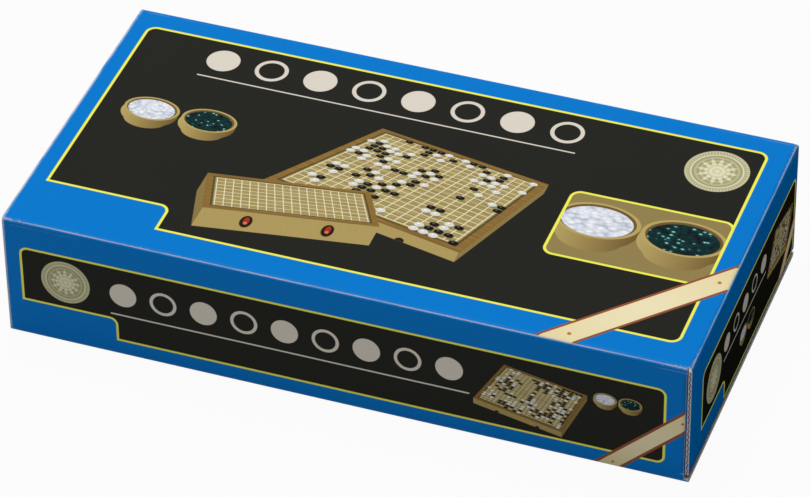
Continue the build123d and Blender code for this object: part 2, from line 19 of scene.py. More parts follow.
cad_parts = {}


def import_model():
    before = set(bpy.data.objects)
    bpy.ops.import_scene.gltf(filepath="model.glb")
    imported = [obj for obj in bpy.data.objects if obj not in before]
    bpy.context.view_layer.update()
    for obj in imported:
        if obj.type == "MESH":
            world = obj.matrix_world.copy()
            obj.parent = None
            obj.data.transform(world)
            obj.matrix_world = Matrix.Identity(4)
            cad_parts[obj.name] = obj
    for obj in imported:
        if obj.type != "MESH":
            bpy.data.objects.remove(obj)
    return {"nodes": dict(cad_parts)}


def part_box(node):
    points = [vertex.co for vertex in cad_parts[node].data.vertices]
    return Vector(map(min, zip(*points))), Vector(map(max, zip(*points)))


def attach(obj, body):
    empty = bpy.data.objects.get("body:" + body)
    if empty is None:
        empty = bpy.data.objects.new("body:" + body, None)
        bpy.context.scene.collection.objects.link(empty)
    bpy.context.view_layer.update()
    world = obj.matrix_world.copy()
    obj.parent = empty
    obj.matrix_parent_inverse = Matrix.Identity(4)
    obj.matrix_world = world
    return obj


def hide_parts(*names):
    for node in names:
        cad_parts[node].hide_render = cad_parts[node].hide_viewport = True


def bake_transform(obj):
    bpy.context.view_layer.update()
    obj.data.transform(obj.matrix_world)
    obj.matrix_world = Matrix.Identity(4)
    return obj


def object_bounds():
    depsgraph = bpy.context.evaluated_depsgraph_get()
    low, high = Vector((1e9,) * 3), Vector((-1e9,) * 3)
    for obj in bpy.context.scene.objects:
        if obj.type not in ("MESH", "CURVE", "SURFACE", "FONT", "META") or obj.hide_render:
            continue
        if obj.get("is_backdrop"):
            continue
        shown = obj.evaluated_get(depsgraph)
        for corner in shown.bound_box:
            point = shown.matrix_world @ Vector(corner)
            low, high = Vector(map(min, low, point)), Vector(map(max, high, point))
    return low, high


LOG = logging.getLogger("go_set")
MM = 0.001
PER_METRE = 1000.0
Colour = tuple[float, float, float, float]
Point = tuple[float, float]
Tree = bpy.types.NodeTree
Socket = bpy.types.NodeSocket
Node = bpy.types.Node
Material = bpy.types.Material
Piece = bpy.types.Object


def ink(red: int, green: int, blue: int) -> Colour:
    """A colour given as it shows on a screen.

    Args:
        red: 0 to 255.
        green: 0 to 255.
        blue: 0 to 255.

    Returns:
        The colour in linear light, with full alpha.
    """
    levels = [level / 255 for level in (red, green, blue)]
    linear = [v / 12.92 if v <= 0.04045 else ((v + 0.055) / 1.055) ** 2.4 for v in levels]
    return (*linear, 1.0)


# ---- arithmetic on shader nodes --------------------------------------------------------------


class Term:
    """A number in a node tree, which plain arithmetic joins to others through Math nodes."""

    def __init__(self, tree: Tree, socket: Socket) -> None:
        """Wraps an output socket of a tree."""
        self.tree = tree
        self.socket = socket

    def math(self, operation: str, *others: "Term | float", clamp: bool = False) -> "Term":
        """Adds a Math node.

        Args:
            operation: the node's operation.
            others: its further inputs, terms or plain numbers.
            clamp: whether the result is kept from 0 to 1.

        Returns:
            The node's result.
        """
        node = self.tree.nodes.new("ShaderNodeMath")
        node.operation = operation
        node.use_clamp = clamp
        for target, value in zip(node.inputs, (self, *others)):
            join(self.tree, value, target)
        return Term(self.tree, node.outputs[0])

    def __add__(self, other: "Term | float") -> "Term":
        """The sum."""
        return self.math("ADD", other)

    __radd__ = __add__

    def __sub__(self, other: "Term | float") -> "Term":
        """The difference."""
        return self.math("SUBTRACT", other)

    def __rsub__(self, other: float) -> "Term":
        """A number less this term."""
        return self.math("MULTIPLY_ADD", -1.0, other)

    def __mul__(self, other: "Term | float") -> "Term":
        """The product."""
        return self.math("MULTIPLY", other)

    __rmul__ = __mul__

    def __truediv__(self, other: "Term | float") -> "Term":
        """The quotient."""
        return self.math("DIVIDE", other)

    def __abs__(self) -> "Term":
        """The size without its sign."""
        return self.math("ABSOLUTE")

    def least(self, other: "Term | float") -> "Term":
        """The smaller of two."""
        return self.math("MINIMUM", other)

    def most(self, other: "Term | float") -> "Term":
        """The larger of two."""
        return self.math("MAXIMUM", other)

    def above(self, limit: "Term | float") -> "Term":
        """1 where this is over a limit, else 0."""
        return self.math("GREATER_THAN", limit)

    def within(self, softness: float = 0.25) -> "Term":
        """1 where a distance is negative, 0 where it is positive, soft over that width."""
        return self.math("MULTIPLY_ADD", -1.0 / softness, 0.5, clamp=True)


def join(tree: Tree, value: object, target: Socket) -> None:
    """Feeds a socket.

    Args:
        tree: the tree that holds the socket.
        value: a Term, an output socket, or a plain value for the socket itself.
        target: the input socket.
    """
    if isinstance(value, Term):
        tree.links.new(value.socket, target)
    elif isinstance(value, Socket):
        tree.links.new(value, target)
    else:
        target.default_value = value


def blend_colours(tree: Tree, base: object, over: object, mask: object) -> Socket:
    """One colour laid over another where a mask is 1.

    Args:
        tree: the tree to build in.
        base: the colour underneath.
        over: the colour on top.
        mask: how much of the top shows.

    Returns:
        The colour socket of the mix.
    """
    node = tree.nodes.new("ShaderNodeMix")
    node.data_type = "RGBA"
    node.clamp_factor = True
    join(tree, mask, node.inputs[0])
    join(tree, base, node.inputs[6])
    join(tree, over, node.inputs[7])
    return node.outputs[2]


def hypot(across: Term, down: Term) -> Term:
    """Distance from a centre, by the two offsets from it."""
    return (across * across + down * down).math("SQRT")


class Effect:
    """A shader node group that several materials share, with named inputs and outputs."""

    SOCKETS = {float: "NodeSocketFloat", tuple: "NodeSocketColor"}

    def __init__(
        self, name: str, inputs: dict[str, float | Colour], outputs: dict[str, type]
    ) -> None:
        """Makes the empty group.

        Args:
            name: the group's name.
            inputs: each input's name and value, a number or a colour.
            outputs: each output's name and kind, float or tuple.
        """
        self.tree = bpy.data.node_groups.new(name, "ShaderNodeTree")
        new_socket = self.tree.interface.new_socket
        for label, value in inputs.items():
            kind = self.SOCKETS[type(value)]
            new_socket(label, in_out="INPUT", socket_type=kind).default_value = value
        for label, kind in outputs.items():
            new_socket(label, in_out="OUTPUT", socket_type=self.SOCKETS[kind])
        self.start = self.tree.nodes.new("NodeGroupInput")
        self.end = self.tree.nodes.new("NodeGroupOutput")

    def term(self, label: str) -> Term:
        """An input, inside the group."""
        return Term(self.tree, self.start.outputs[label])

    def give(self, label: str, value: object) -> None:
        """Sets an output, inside the group."""
        join(self.tree, value, self.end.inputs[label])

    def place(self, tree: Tree, **values: object) -> Node:
        """Puts the group in a material.

        Args:
            tree: the material's tree.
            values: inputs by name, with underscores for spaces.

        Returns:
            The group node.
        """
        node = tree.nodes.new("ShaderNodeGroup")
        node.node_tree = self.tree
        for label, value in values.items():
            join(tree, value, node.inputs[label.replace("_", " ")])
        return node


def texture(tree: Tree, kind: str, **settings: object) -> Node:
    """A texture node with its settings.

    Args:
        tree: the tree to build in.
        kind: the node's type, after ShaderNodeTex.
        settings: properties or inputs by name, inputs with underscores for spaces.

    Returns:
        The texture node.
    """
    node = tree.nodes.new("ShaderNodeTex" + kind)
    for name, value in settings.items():
        if name.islower() and hasattr(node, name):
            setattr(node, name, value)
    for name, value in settings.items():
        if not (name.islower() and hasattr(node, name)):
            join(tree, value, node.inputs[name.replace("_", " ")])
    return node


def noise_at(tree: Tree, place: Socket, detail: float) -> Term:
    """Fractal noise at a place, about a half on average."""
    return Term(tree, texture(tree, "Noise", Vector=place, Scale=1.0, Detail=detail).outputs[0])


def combine(tree: Tree, x: object, y: object, z: object = 0.0) -> Socket:
    """A vector from three numbers.

    Args:
        tree: the tree to build in.
        x: first coordinate.
        y: second coordinate.
        z: third coordinate.

    Returns:
        The vector socket.
    """
    node = tree.nodes.new("ShaderNodeCombineXYZ")
    for target, value in zip(node.inputs, (x, y, z)):
        join(tree, value, target)
    return node.outputs[0]


def split_vector(tree: Tree, vector: Socket, scale: float) -> list[Term]:
    """The three coordinates of a vector, each multiplied by scale.

    Args:
        tree: the tree to build in.
        vector: the vector socket.
        scale: what each coordinate is multiplied by.

    Returns:
        Three terms.
    """
    node = tree.nodes.new("ShaderNodeSeparateXYZ")
    join(tree, vector, node.inputs[0])
    return [Term(tree, socket) * scale for socket in node.outputs]


def object_place(tree: Tree, scale: float = 1.0) -> list[Term]:
    """The three Object coordinates in metres, or in other units by the scale."""
    coordinates = tree.nodes.new("ShaderNodeTexCoord")
    return split_vector(tree, coordinates.outputs["Object"], scale)


def put(name: str, data: bpy.types.ID) -> Piece:
    """A new object in the scene, round a mesh, a lamp or a camera."""
    piece = bpy.data.objects.new(name, data)
    bpy.context.scene.collection.objects.link(piece)
    return piece


# ---- shared effects --------------------------------------------------------------------------


class Effects:
    """The node groups that the finishes share, each built once."""

    def __init__(self) -> None:
        """Builds every group."""
        self.rounded = self._rounded()
        self.rosette = self._rosette()
        self.heap = self._heap()
        self.board_picture = self._board_picture()
        self.grain = self._grain()
        # Scuffs, and a painted highlight along the folds.
        self.wear_and_edge_highlight = self._wear_and_edge_highlight()

    @staticmethod
    def _rounded() -> Effect:
        """Distance to a rounded rectangle, negative inside."""
        names = ("X", "Y", "Centre X", "Centre Y", "Half Width", "Half Height", "Corner")
        effect = Effect("Rounded rectangle", dict.fromkeys(names, 1.0), {"Distance": float})
        x, y, cx, cy, half_width, half_height, corner = (effect.term(name) for name in names)
        across = abs(x - cx) - half_width + corner
        down = abs(y - cy) - half_height + corner
        outside = across.most(0.0).math("POWER", 2.0) + down.most(0.0).math("POWER", 2.0)
        inside = across.most(down).least(0.0)
        effect.give("Distance", outside.math("SQRT") + inside - corner)
        return effect

    @staticmethod
    def _rosette() -> Effect:
        """A struck seal: a disc with a beaded rim and a petalled middle."""
        names = ("X", "Y", "Centre X", "Centre Y", "Radius")
        effect = Effect("Rosette seal", dict.fromkeys(names, 1.0), {"Mask": float, "Relief": float})
        x, y, cx, cy, radius = (effect.term(name) for name in names)
        dx, dy = x - cx, y - cy
        reach = hypot(dx, dy)
        share = reach / radius
        angle = dy.math("ARCTAN2", dx)
        petals = (angle * 12.0).math("COSINE") * 0.5 + 0.5
        beads = (angle * 60.0).math("COSINE") * 0.5 + 0.5
        rings = (share * 40.0).math("SINE") * 0.15
        middle = (share - 0.30 - petals * 0.32).within(0.10)
        rim = (abs(share - 0.92) - 0.05).within(0.03)
        field_ring = (abs(share - 0.80) - 0.02).within(0.03)
        effect.give("Mask", (reach - radius).within())
        effect.give("Relief", middle * 0.55 + rim * beads * 0.5 + field_ring * 0.6 + rings + 0.15)
        return effect

    @staticmethod
    def _stone_cells(tree: Tree, place: Socket) -> Node:
        """One cell for each printed stone."""
        settings = {"voronoi_dimensions": "3D", "Scale": 1.0, "Randomness": 0.85}
        return texture(tree, "Voronoi", Vector=place, **settings)

    @classmethod
    def _heap(cls) -> Effect:
        """A printed picture of loose stones, one per cell, from dark to light."""
        inputs = {"X": 0.0, "Y": 0.0, "Stone": 3.0, "Seed": 0.0}
        effect = Effect("Heap of stones", inputs, {"Body": float, "Glint": float})
        tree = effect.tree
        upright_squeeze = 1.6
        x = effect.term("X") / effect.term("Stone")
        y = effect.term("Y") / effect.term("Stone") * upright_squeeze
        cells = cls._stone_cells(tree, combine(tree, x, y, effect.term("Seed")))
        distance = Term(tree, cells.outputs["Distance"])
        tone = texture(tree, "WhiteNoise", noise_dimensions="3D", Vector=cells.outputs["Position"])
        shade = Term(tree, tone.outputs["Value"])
        effect.give("Body", (1.05 - distance * distance * 1.5) * (shade * 0.35 + 0.65))
        lights = cls._stone_cells(tree, combine(tree, x + 0.16, y + 0.22, effect.term("Seed")))
        glint = (Term(tree, lights.outputs["Distance"]) - 0.2).within(0.26)
        effect.give("Glint", glint * shade.above(0.4))
        return effect

    @staticmethod
    def _board_picture() -> Effect:
        """A printed go board in a tilted view, whole with a game on it or folded and bare."""
        view = [f"View {number}" for number in range(8)]
        cells, margin, half_line, stone_radius = 18.0, 0.06, 0.055, 0.46
        inputs = {"X": 0.0, "Y": 0.0, "Seed": 0.0, "Aspect": 1.0, "Rows": cells, "Bare": 0.0}
        inputs |= dict.fromkeys(view, 0.0)
        effect = Effect("Board picture", inputs, {"Colour": tuple, "Mask": float})
        tree = effect.tree
        x, y, rows, aspect = (effect.term(name) for name in ("X", "Y", "Rows", "Aspect"))
        a, b, c, d, e, f, g, h = (effect.term(name) for name in view)
        depth = g * x + h * y + 1.0
        u = (a * x + b * y + c) / depth
        v = (d * x + e * y + f) / depth
        edge = (abs(u - 0.5) - 0.5).most((abs(v - 0.5) - 0.5) * aspect)
        rail = (edge + 0.036).above(0.0)
        shadow = (abs(edge + 0.042) - 0.007).within(0.004)
        whole = rows.above(12.0)
        fold = (abs(v - 0.5) - 0.0022).within(0.002) * whole
        played = 1.0 - 2 * margin
        column, row = (u - margin) / played * cells, (v * aspect - margin) / played * cells
        near_column, near_row = column.math("ROUND"), row.math("ROUND")
        off_column, off_row = column - near_column, row - near_row
        spread = (abs(column - 9.0) - 9.0).most(abs(row - rows * 0.5) - rows * 0.5)
        line = (abs(off_column).least(abs(off_row)) - half_line).within(0.05)
        line = line * (spread - 0.08).within(0.06)
        cell = combine(tree, near_column, near_row, effect.term("Seed"))
        clusters = texture(tree, "Noise", Vector=cell, Scale=0.23, Detail=1.0)
        pick = texture(tree, "WhiteNoise", noise_dimensions="3D", Vector=cell)
        chosen = Term(tree, clusters.outputs[0]) * 0.95 + Term(tree, pick.outputs["Value"]) * 0.26
        beyond = (abs(near_column - 9.0) - 9.0).most(abs(near_row - rows * 0.5) - rows * 0.5)
        taken = (chosen - effect.term("Bare")).above(0.63) * beyond.math("LESS_THAN", 0.1)
        sides = texture(tree, "WhiteNoise", noise_dimensions="4D", Vector=cell, W=7.3)
        white = Term(tree, sides.outputs["Value"]).above(0.5)
        reach = hypot(off_column, off_row)
        stone = (reach - stone_radius).within(0.08) * taken
        gloss_x, gloss_y = off_column + 0.12, off_row + 0.14
        gloss = (hypot(gloss_x, gloss_y) - 0.12).within(0.12)
        cast_x, cast_y = off_column - 0.22, off_row - 0.16
        cast = (hypot(cast_x, cast_y) - stone_radius).within(0.2) * taken * 0.55
        drawn_out = combine(tree, u * 3.0, v * 46.0)
        streaks = texture(tree, "Noise", noise_dimensions="2D", Vector=drawn_out, Scale=1.0)
        tone = Term(tree, streaks.outputs[0])
        wood = blend_colours(tree, ink(128, 108, 58), ink(198, 178, 116), tone)
        frame_wood = blend_colours(tree, ink(104, 76, 32), ink(168, 132, 68), tone)
        colour = blend_colours(tree, wood, ink(238, 232, 196), line)
        colour = blend_colours(tree, colour, ink(50, 38, 18), (shadow * 0.8).most(fold * 0.5))
        colour = blend_colours(tree, colour, frame_wood, rail)
        colour = blend_colours(tree, colour, ink(40, 30, 14), cast)
        black_stone = blend_colours(tree, ink(14, 13, 12), ink(130, 130, 128), gloss * 0.5)
        white_stone = blend_colours(tree, ink(222, 222, 216), ink(255, 255, 252), gloss)
        played_stone = blend_colours(tree, black_stone, white_stone, white)
        colour = blend_colours(tree, colour, played_stone, stone)
        effect.give("Colour", colour)
        effect.give("Mask", edge.within(0.006))
        return effect

    @staticmethod
    def _grain() -> Effect:
        """Straight wood grain: pores and growth bands drawn out along one axis."""
        inputs = dict.fromkeys(("Along", "Across", "Depth", "Seed"), 0.0)
        inputs |= {"Pale": ink(200, 170, 110), "Dark": ink(120, 85, 40)}
        outputs = {"Colour": tuple, "Roughness": float, "Height": float}
        effect = Effect("Wood grain", inputs, outputs)
        tree = effect.tree
        along, across, depth = (effect.term(name) for name in ("Along", "Across", "Depth"))
        seed = effect.term("Seed")
        drift_place = combine(tree, along * 9.0 + seed, across * 30.0, depth * 30.0 + seed)
        drift = noise_at(tree, drift_place, 2.0)
        rings_place = across * 620.0 + depth * 260.0 + drift * 26.0
        rings = (rings_place + seed).math("SINE") * 0.5 + 0.5
        fibre_place = combine(tree, along * 38.0, across * 1500.0 + seed, depth * 1500.0)
        fibre = noise_at(tree, fibre_place, 4.0)
        pore_place = combine(tree, along * 150.0, across * 2600.0, depth * 2600.0 + seed)
        pores = noise_at(tree, pore_place, 1.0)
        pore = (0.36 - pores).math("MULTIPLY", 9.0, clamp=True)
        tone = (rings * 0.45 + fibre * 0.75 - 0.12).math("MAXIMUM", 0.0)
        colour = blend_colours(tree, effect.term("Pale"), effect.term("Dark"), tone)
        effect.give("Colour", blend_colours(tree, colour, ink(62, 40, 18), pore * 0.5))
        effect.give("Roughness", fibre * 0.18 + pore * 0.2 + 0.34)
        effect.give("Height", fibre * 0.5 + rings * 0.2 - pore * 0.6)
        return effect

    @staticmethod
    def _wear_and_edge_highlight() -> Effect:
        """Wear on printed board from carrying and stacking, and a painted highlight along the folds,
        by distance from the face's edges.
        """
        inputs = {"X": 0.0, "Y": 0.0, "Width": 100.0, "Height": 100.0, "Seed": 0.0}
        outputs = {"Scuff": float, "Sheen": float, "Roughness": float, "Height": float}
        effect = Effect("Handling wear", inputs, outputs)
        tree = effect.tree
        x, y, width, height = (effect.term(name) for name in ("X", "Y", "Width", "Height"))
        edge = x.least(width - x).least(y.least(height - y))
        corner = x.least(width - x).most(y.least(height - y))
        place = combine(tree, x * 0.9, y * 0.9, effect.term("Seed"))
        flecks = noise_at(tree, place, 5.0)
        cloud_place = combine(tree, x * 0.02, y * 0.02, effect.term("Seed") + 5.0)
        cloud = noise_at(tree, cloud_place, 2.0)
        streak_place = combine(tree, x * 0.035, y * 0.035, effect.term("Seed") + 9.0)
        streaks = noise_at(tree, streak_place, 4.0)
        crease_reach, second_crease, flute_pitch = 0.86, 2.9, 3.3
        near_edge = (edge - 1.1).within(0.9)
        near_corner = (corner - 9.0).within(16.0)
        fleck_mask = (flecks + near_corner * 0.16 - 0.61).math("MULTIPLY", 14.0, clamp=True)
        crease_mask = (streaks - 0.36).math("MULTIPLY", 7.0, clamp=True)
        crease = (edge - crease_reach).within(0.22) * crease_mask
        second = (abs(y - second_crease) - 0.1).within(0.3) * (corner - 26.0).within(30.0)
        second = second * (x - 4.0).above(0.0) * 0.7
        second = second * (streaks - 0.4).math("MULTIPLY", 6.0, clamp=True)
        worn = (near_edge * fleck_mask).most(crease).most(second)
        flutes = (x * (2 * math.pi / flute_pitch)).math("SINE")
        effect.give("Scuff", worn)
        # A lighter band along the face's edges: a painted highlight where the folds would catch the
        # light.
        effect.give("Sheen", (edge - 0.5).within(1.4) * (cloud * 0.5 + 0.35))
        effect.give("Roughness", cloud * 0.12 + worn * 0.4 + 0.24)
        effect.give("Height", flutes * 0.5 + cloud * 1.5 + flecks * 0.25 - worn)
        return effect


# ---- finishes --------------------------------------------------------------------------------


def new_material(name: str) -> tuple[Material, Tree, Node]:
    """An empty node material.

    Args:
        name: the material's name.

    Returns:
        The material, its tree and its Principled shader.
    """
    material = bpy.data.materials.new(name)
    material.use_nodes = True
    tree = material.node_tree
    return material, tree, tree.nodes["Principled BSDF"]


def add_bump(
    tree: Tree, shader: Node, height: object, depth: float, strength: float
) -> None:
    """Gives a shader a bumped normal.

    Args:
        tree: the material's tree.
        shader: its Principled shader.
        height: the height, from about -1 to 1.
        depth: what a height of 1 stands for, in metres.
        strength: the Bump node's strength.
    """
    bump = tree.nodes.new("ShaderNodeBump")
    bump.inputs["Strength"].default_value = strength
    bump.inputs["Distance"].default_value = depth
    join(tree, height, bump.inputs["Height"])
    join(tree, bump.outputs[0], shader.inputs["Normal"])


class Grain(Enum):
    """Which way a wooden piece's grain runs."""

    ALONG_X = (0, 1, 2)
    ALONG_Y = (1, 0, 2)


@dataclass(frozen=True)
class WoodFinish:
    """Lacquered wood with straight grain."""

    name: str
    grain: Grain
    pale: Colour
    dark: Colour
    seed: float

    def colour_of(
        self, tree: Tree, effects: Effects, place: list[Term]
    ) -> tuple[object, Node]:
        """The wood's own colour.

        Args:
            tree: the material's tree.
            effects: the shared groups.
            place: the three Object coordinates in metres.

        Returns:
            The colour socket and the grain group node.
        """
        along, across, depth = (place[axis] for axis in self.grain.value)
        own = {"Seed": self.seed, "Pale": self.pale, "Dark": self.dark}
        grain = effects.grain.place(tree, Along=along, Across=across, Depth=depth, **own)
        return grain.outputs["Colour"], grain

    def build(self, effects: Effects) -> Material:
        """Builds the material.

        Args:
            effects: the shared groups.

        Returns:
            The material.
        """
        material, tree, shader = new_material(self.name)
        place = object_place(tree)
        colour, grain = self.colour_of(tree, effects, place)
        join(tree, colour, shader.inputs["Base Color"])
        join(tree, grain.outputs["Roughness"], shader.inputs["Roughness"])
        shader.inputs["Coat Weight"].default_value = 0.25
        shader.inputs["Coat Roughness"].default_value = 0.3
        add_bump(tree, shader, grain.outputs["Height"], 0.00012, 0.5)
        return material


@dataclass(frozen=True)
class PlayingFinish(WoodFinish):
    """The playing surface: pale wood with a printed grid that runs on over the fold."""

    pitch: float
    middle_x: float
    fold_y: float
    face_z: float
    lines_each_way: int = 9
    line: float = 0.9
    point_radius: float = 1.5
    star_lines: float = 6.0
    print_depth: float = 0.3 * MM

    def build(self, effects: Effects) -> Material:
        """Builds the material.

        Args:
            effects: the shared groups.

        Returns:
            The material.
        """
        material, tree, shader = new_material(self.name)
        place = object_place(tree)
        wood, grain = self.colour_of(tree, effects, place)
        column = (place[0] - self.middle_x) / self.pitch
        row = (place[1] - self.fold_y) / -self.pitch
        off_column = abs(column - column.math("ROUND"))
        off_row = abs(row - row.math("ROUND"))
        half_line = self.line * MM / self.pitch / 2
        limit = self.lines_each_way + half_line
        inside = (abs(column).most(row) - limit).within(0.02)
        line = (off_column.least(off_row) - half_line).within(0.02) * inside
        point_column = abs(abs(column) - self.star_lines).least(abs(column))
        point_row = abs(row - self.star_lines).least(row)
        reach = hypot(point_column, point_row)
        points = (reach - self.point_radius * MM / self.pitch).within(0.02)
        on_face = (abs(place[2] - self.face_z) - self.print_depth).math("LESS_THAN", 0.0)
        printed = line.most(points) * on_face
        colour = blend_colours(tree, wood, ink(236, 230, 200), printed)
        join(tree, colour, shader.inputs["Base Color"])
        join(tree, grain.outputs["Roughness"], shader.inputs["Roughness"])
        shader.inputs["Coat Weight"].default_value = 0.2
        shader.inputs["Coat Roughness"].default_value = 0.35
        add_bump(tree, shader, Term(tree, grain.outputs["Height"]) + printed * 0.6, 0.00010, 0.5)
        return material


@dataclass(frozen=True)
class MetalFinish:
    """A small metal fitting: brushed and a little tarnished."""

    name: str
    colour: Colour
    tarnish: Colour
    roughness: float

    def build(self) -> Material:
        """Builds the material.

        Returns:
            The material.
        """
        material, tree, shader = new_material(self.name)
        x, y, z = object_place(tree)
        cloud_place = combine(tree, x * 260.0, y * 260.0, z * 260.0)
        cloud = noise_at(tree, cloud_place, 4.0)
        brush_place = combine(tree, x * 5200.0, y * 900.0, z * 700.0)
        brush = noise_at(tree, brush_place, 2.0)
        stain = (cloud - 0.5).math("MULTIPLY", 5.0, clamp=True)
        colour = blend_colours(tree, self.colour, self.tarnish, stain)
        join(tree, colour, shader.inputs["Base Color"])
        join(tree, brush * 0.2 + stain * 0.15 + self.roughness, shader.inputs["Roughness"])
        shader.inputs["Metallic"].default_value = 1.0
        add_bump(tree, shader, brush, 0.00003, 0.4)
        return material


@dataclass(frozen=True)
class StoneFinish:
    """Glass stones, each a slightly different tone."""

    name: str
    colour: Colour
    second: Colour

    def build(self) -> Material:
        """Builds the material.

        Returns:
            The material.
        """
        material, tree, shader = new_material(self.name)
        x, y, z = object_place(tree)
        cloud_place = combine(tree, x * 55.0, y * 55.0, z * 120.0)
        cloud = noise_at(tree, cloud_place, 3.0)
        colour = blend_colours(tree, self.colour, self.second, cloud)
        join(tree, colour, shader.inputs["Base Color"])
        join(tree, cloud * 0.1 + 0.06, shader.inputs["Roughness"])
        shader.inputs["Coat Weight"].default_value = 0.6
        shader.inputs["Coat Roughness"].default_value = 0.05
        add_bump(tree, shader, cloud, 0.00006, 0.3)
        return material


@dataclass(frozen=True)
class BareBoardFinish:
    """Unprinted corrugated board: the inside liner, or a cut edge with its flutes."""

    name: str
    colour: Colour
    speck: Colour
    flute_pitch: float = 3.3
    flute_depth: float = 0.00008

    def build(self) -> Material:
        """Builds the material.

        Returns:
            The material.
        """
        material, tree, shader = new_material(self.name)
        x, y, z = object_place(tree, PER_METRE)
        fibre_place = combine(tree, x * 2.5, y * 2.5, z * 2.5)
        fibre = noise_at(tree, fibre_place, 5.0)
        flutes = ((x + z) * (2 * math.pi / self.flute_pitch)).math("SINE")
        tone = (fibre - 0.42).math("MULTIPLY", 3.0, clamp=True) * 0.7 + flutes * 0.06
        join(tree, blend_colours(tree, self.colour, self.speck, tone), shader.inputs["Base Color"])
        join(tree, fibre * 0.1 + 0.82, shader.inputs["Roughness"])
        shader.inputs["Specular IOR Level"].default_value = 0.25
        add_bump(tree, shader, flutes + fibre * 0.5, self.flute_depth, 0.6)
        return material


# ---- the printed faces -----------------------------------------------------------------------


@dataclass(frozen=True)
class Picture:
    """A board seen from above at an angle, drawn flat on a face, in millimetres of the face."""

    centre: Point
    side: float
    turn: float
    thickness: float
    seed: float
    folded: bool = False
    squash: float = 0.60
    near: float = 0.002

    @property
    def aspect(self) -> float:
        """The board's depth as a share of its side."""
        return 0.5 if self.folded else 1.0

    def spot(self, u: float, v: float, drop: float = 0.0) -> Point:
        """Where a point of the board is drawn.

        Args:
            u: 0 to 1 across the board.
            v: 0 to 1 down the board.
            drop: how far below the top face the point lies, in millimetres of the drawing.

        Returns:
            The point on the face.
        """
        turn = math.radians(self.turn)
        across, down = (u - 0.5) * self.side, (v - 0.5) * self.side * self.aspect
        x = across * math.cos(turn) - down * math.sin(turn)
        y = across * math.sin(turn) + down * math.cos(turn)
        growth = 1 + self.near * y
        return (self.centre[0] + x * growth, self.centre[1] + y * self.squash * growth + drop)

    def view(self) -> list[float]:
        """The eight numbers that take a point of the face to the square's u and v.

        Returns:
            Coefficients a to h of u = (a x + b y + c) / (g x + h y + 1), and v with d, e and f.
        """
        corners = [(self.spot(u, v), (u, v)) for u, v in ((0, 0), (1, 0), (1, 1), (0, 1))]
        rows, values = [], []
        for (x, y), (u, v) in corners:
            rows.append([x, y, 1, 0, 0, 0, -u * x, -u * y])
            rows.append([0, 0, 0, x, y, 1, -v * x, -v * y])
            values += [u, v]
        return solve(rows, values)

    def wall(self, first: Point, second: Point) -> list[Point]:
        """The visible side of the slab under one edge.

        Args:
            first: the edge's first end, as u and v.
            second: its second end.

        Returns:
            Four points round the wall, in order.
        """
        top = [self.spot(*first), self.spot(*second)]
        foot = [self.spot(*second, drop=self.thickness), self.spot(*first, drop=self.thickness)]
        return top + foot


def solve(rows: list[list[float]], values: list[float]) -> list[float]:
    """Solves a small set of linear equations by elimination.

    Args:
        rows: the coefficients, one row for each equation.
        values: the right-hand sides.

    Returns:
        The unknowns.
    """
    size = len(rows)
    table = [list(map(float, row)) + [float(value)] for row, value in zip(rows, values)]
    for column in range(size):
        pivot = max(range(column, size), key=lambda line: abs(table[line][column]))
        table[column], table[pivot] = table[pivot], table[column]
        table[column] = [entry / table[column][column] for entry in table[column]]
        for line in range(size):
            if line != column:
                share, heads = table[line][column], table[column]
                table[line] = [entry - share * head for entry, head in zip(table[line], heads)]
    return [line[-1] for line in table]


@dataclass(frozen=True)
class Bowls:
    """A pair of printed wooden bowls of stones: centre of the left one, radius and spacing."""

    centre: Point
    radius: float
    spacing: float
    stone: float


@dataclass(frozen=True)
class FaceLayout:
    """What is printed on one face, in millimetres from its left and top edges."""

    name: str
    width: float
    height: float
    panel: tuple[float, float, float, float] | None = None
    notch: tuple[float, float, float, float] | None = None
    title: tuple[float, float, float, float] | None = None
    rule: tuple[float, float, float] | None = None
    seal: tuple[float, float, float] | None = None
    ribbon: tuple[float, float, float, float, float] | None = None
    window: tuple[float, float, float, float] | None = None
    pictures: list[Picture] = field(default_factory=list)
    bowls: list[Bowls] = field(default_factory=list)
    corner: float = 4.6
    keyline: float = 1.3
    gloss: float = 0.04


class PrintInk:
    """The inks of the carton, as they look on the printed top, and the colour of the painted edge
    highlight.
    """

    GROUND = ink(0, 122, 208)
    # Not an ink: the colour of the painted highlight along the folds and edges.
    PAINTED_EDGE_HIGHLIGHT = ink(110, 190, 240)
    PANEL = ink(30, 30, 25)
    KEYLINE = ink(248, 246, 92)
    IVORY = ink(224, 216, 202)
    SEAL_LIGHT = ink(242, 240, 204)
    SEAL_DARK = ink(164, 160, 116)
    SHADOW = ink(34, 22, 10)
    LATCH = ink(168, 50, 26)
    LATCH_LIGHT = ink(226, 120, 84)
    RIBBON = ink(236, 220, 168)
    RIBBON_EDGE = ink(150, 84, 52)
    DOT = ink(196, 120, 70)
    WOOD_LIGHT = ink(188, 166, 102)
    WOOD_DARK = ink(112, 88, 46)
    WHITE_STONE = ink(250, 252, 255)
    WHITE_SHADE = ink(182, 190, 208)
    DARK_STONE = ink(8, 56, 58)
    DARK_SHADE = ink(2, 8, 10)
    DARK_GLINT = ink(150, 236, 224)
    TABLE = ink(148, 130, 80)
    BARE_LINER = ink(205, 205, 212)


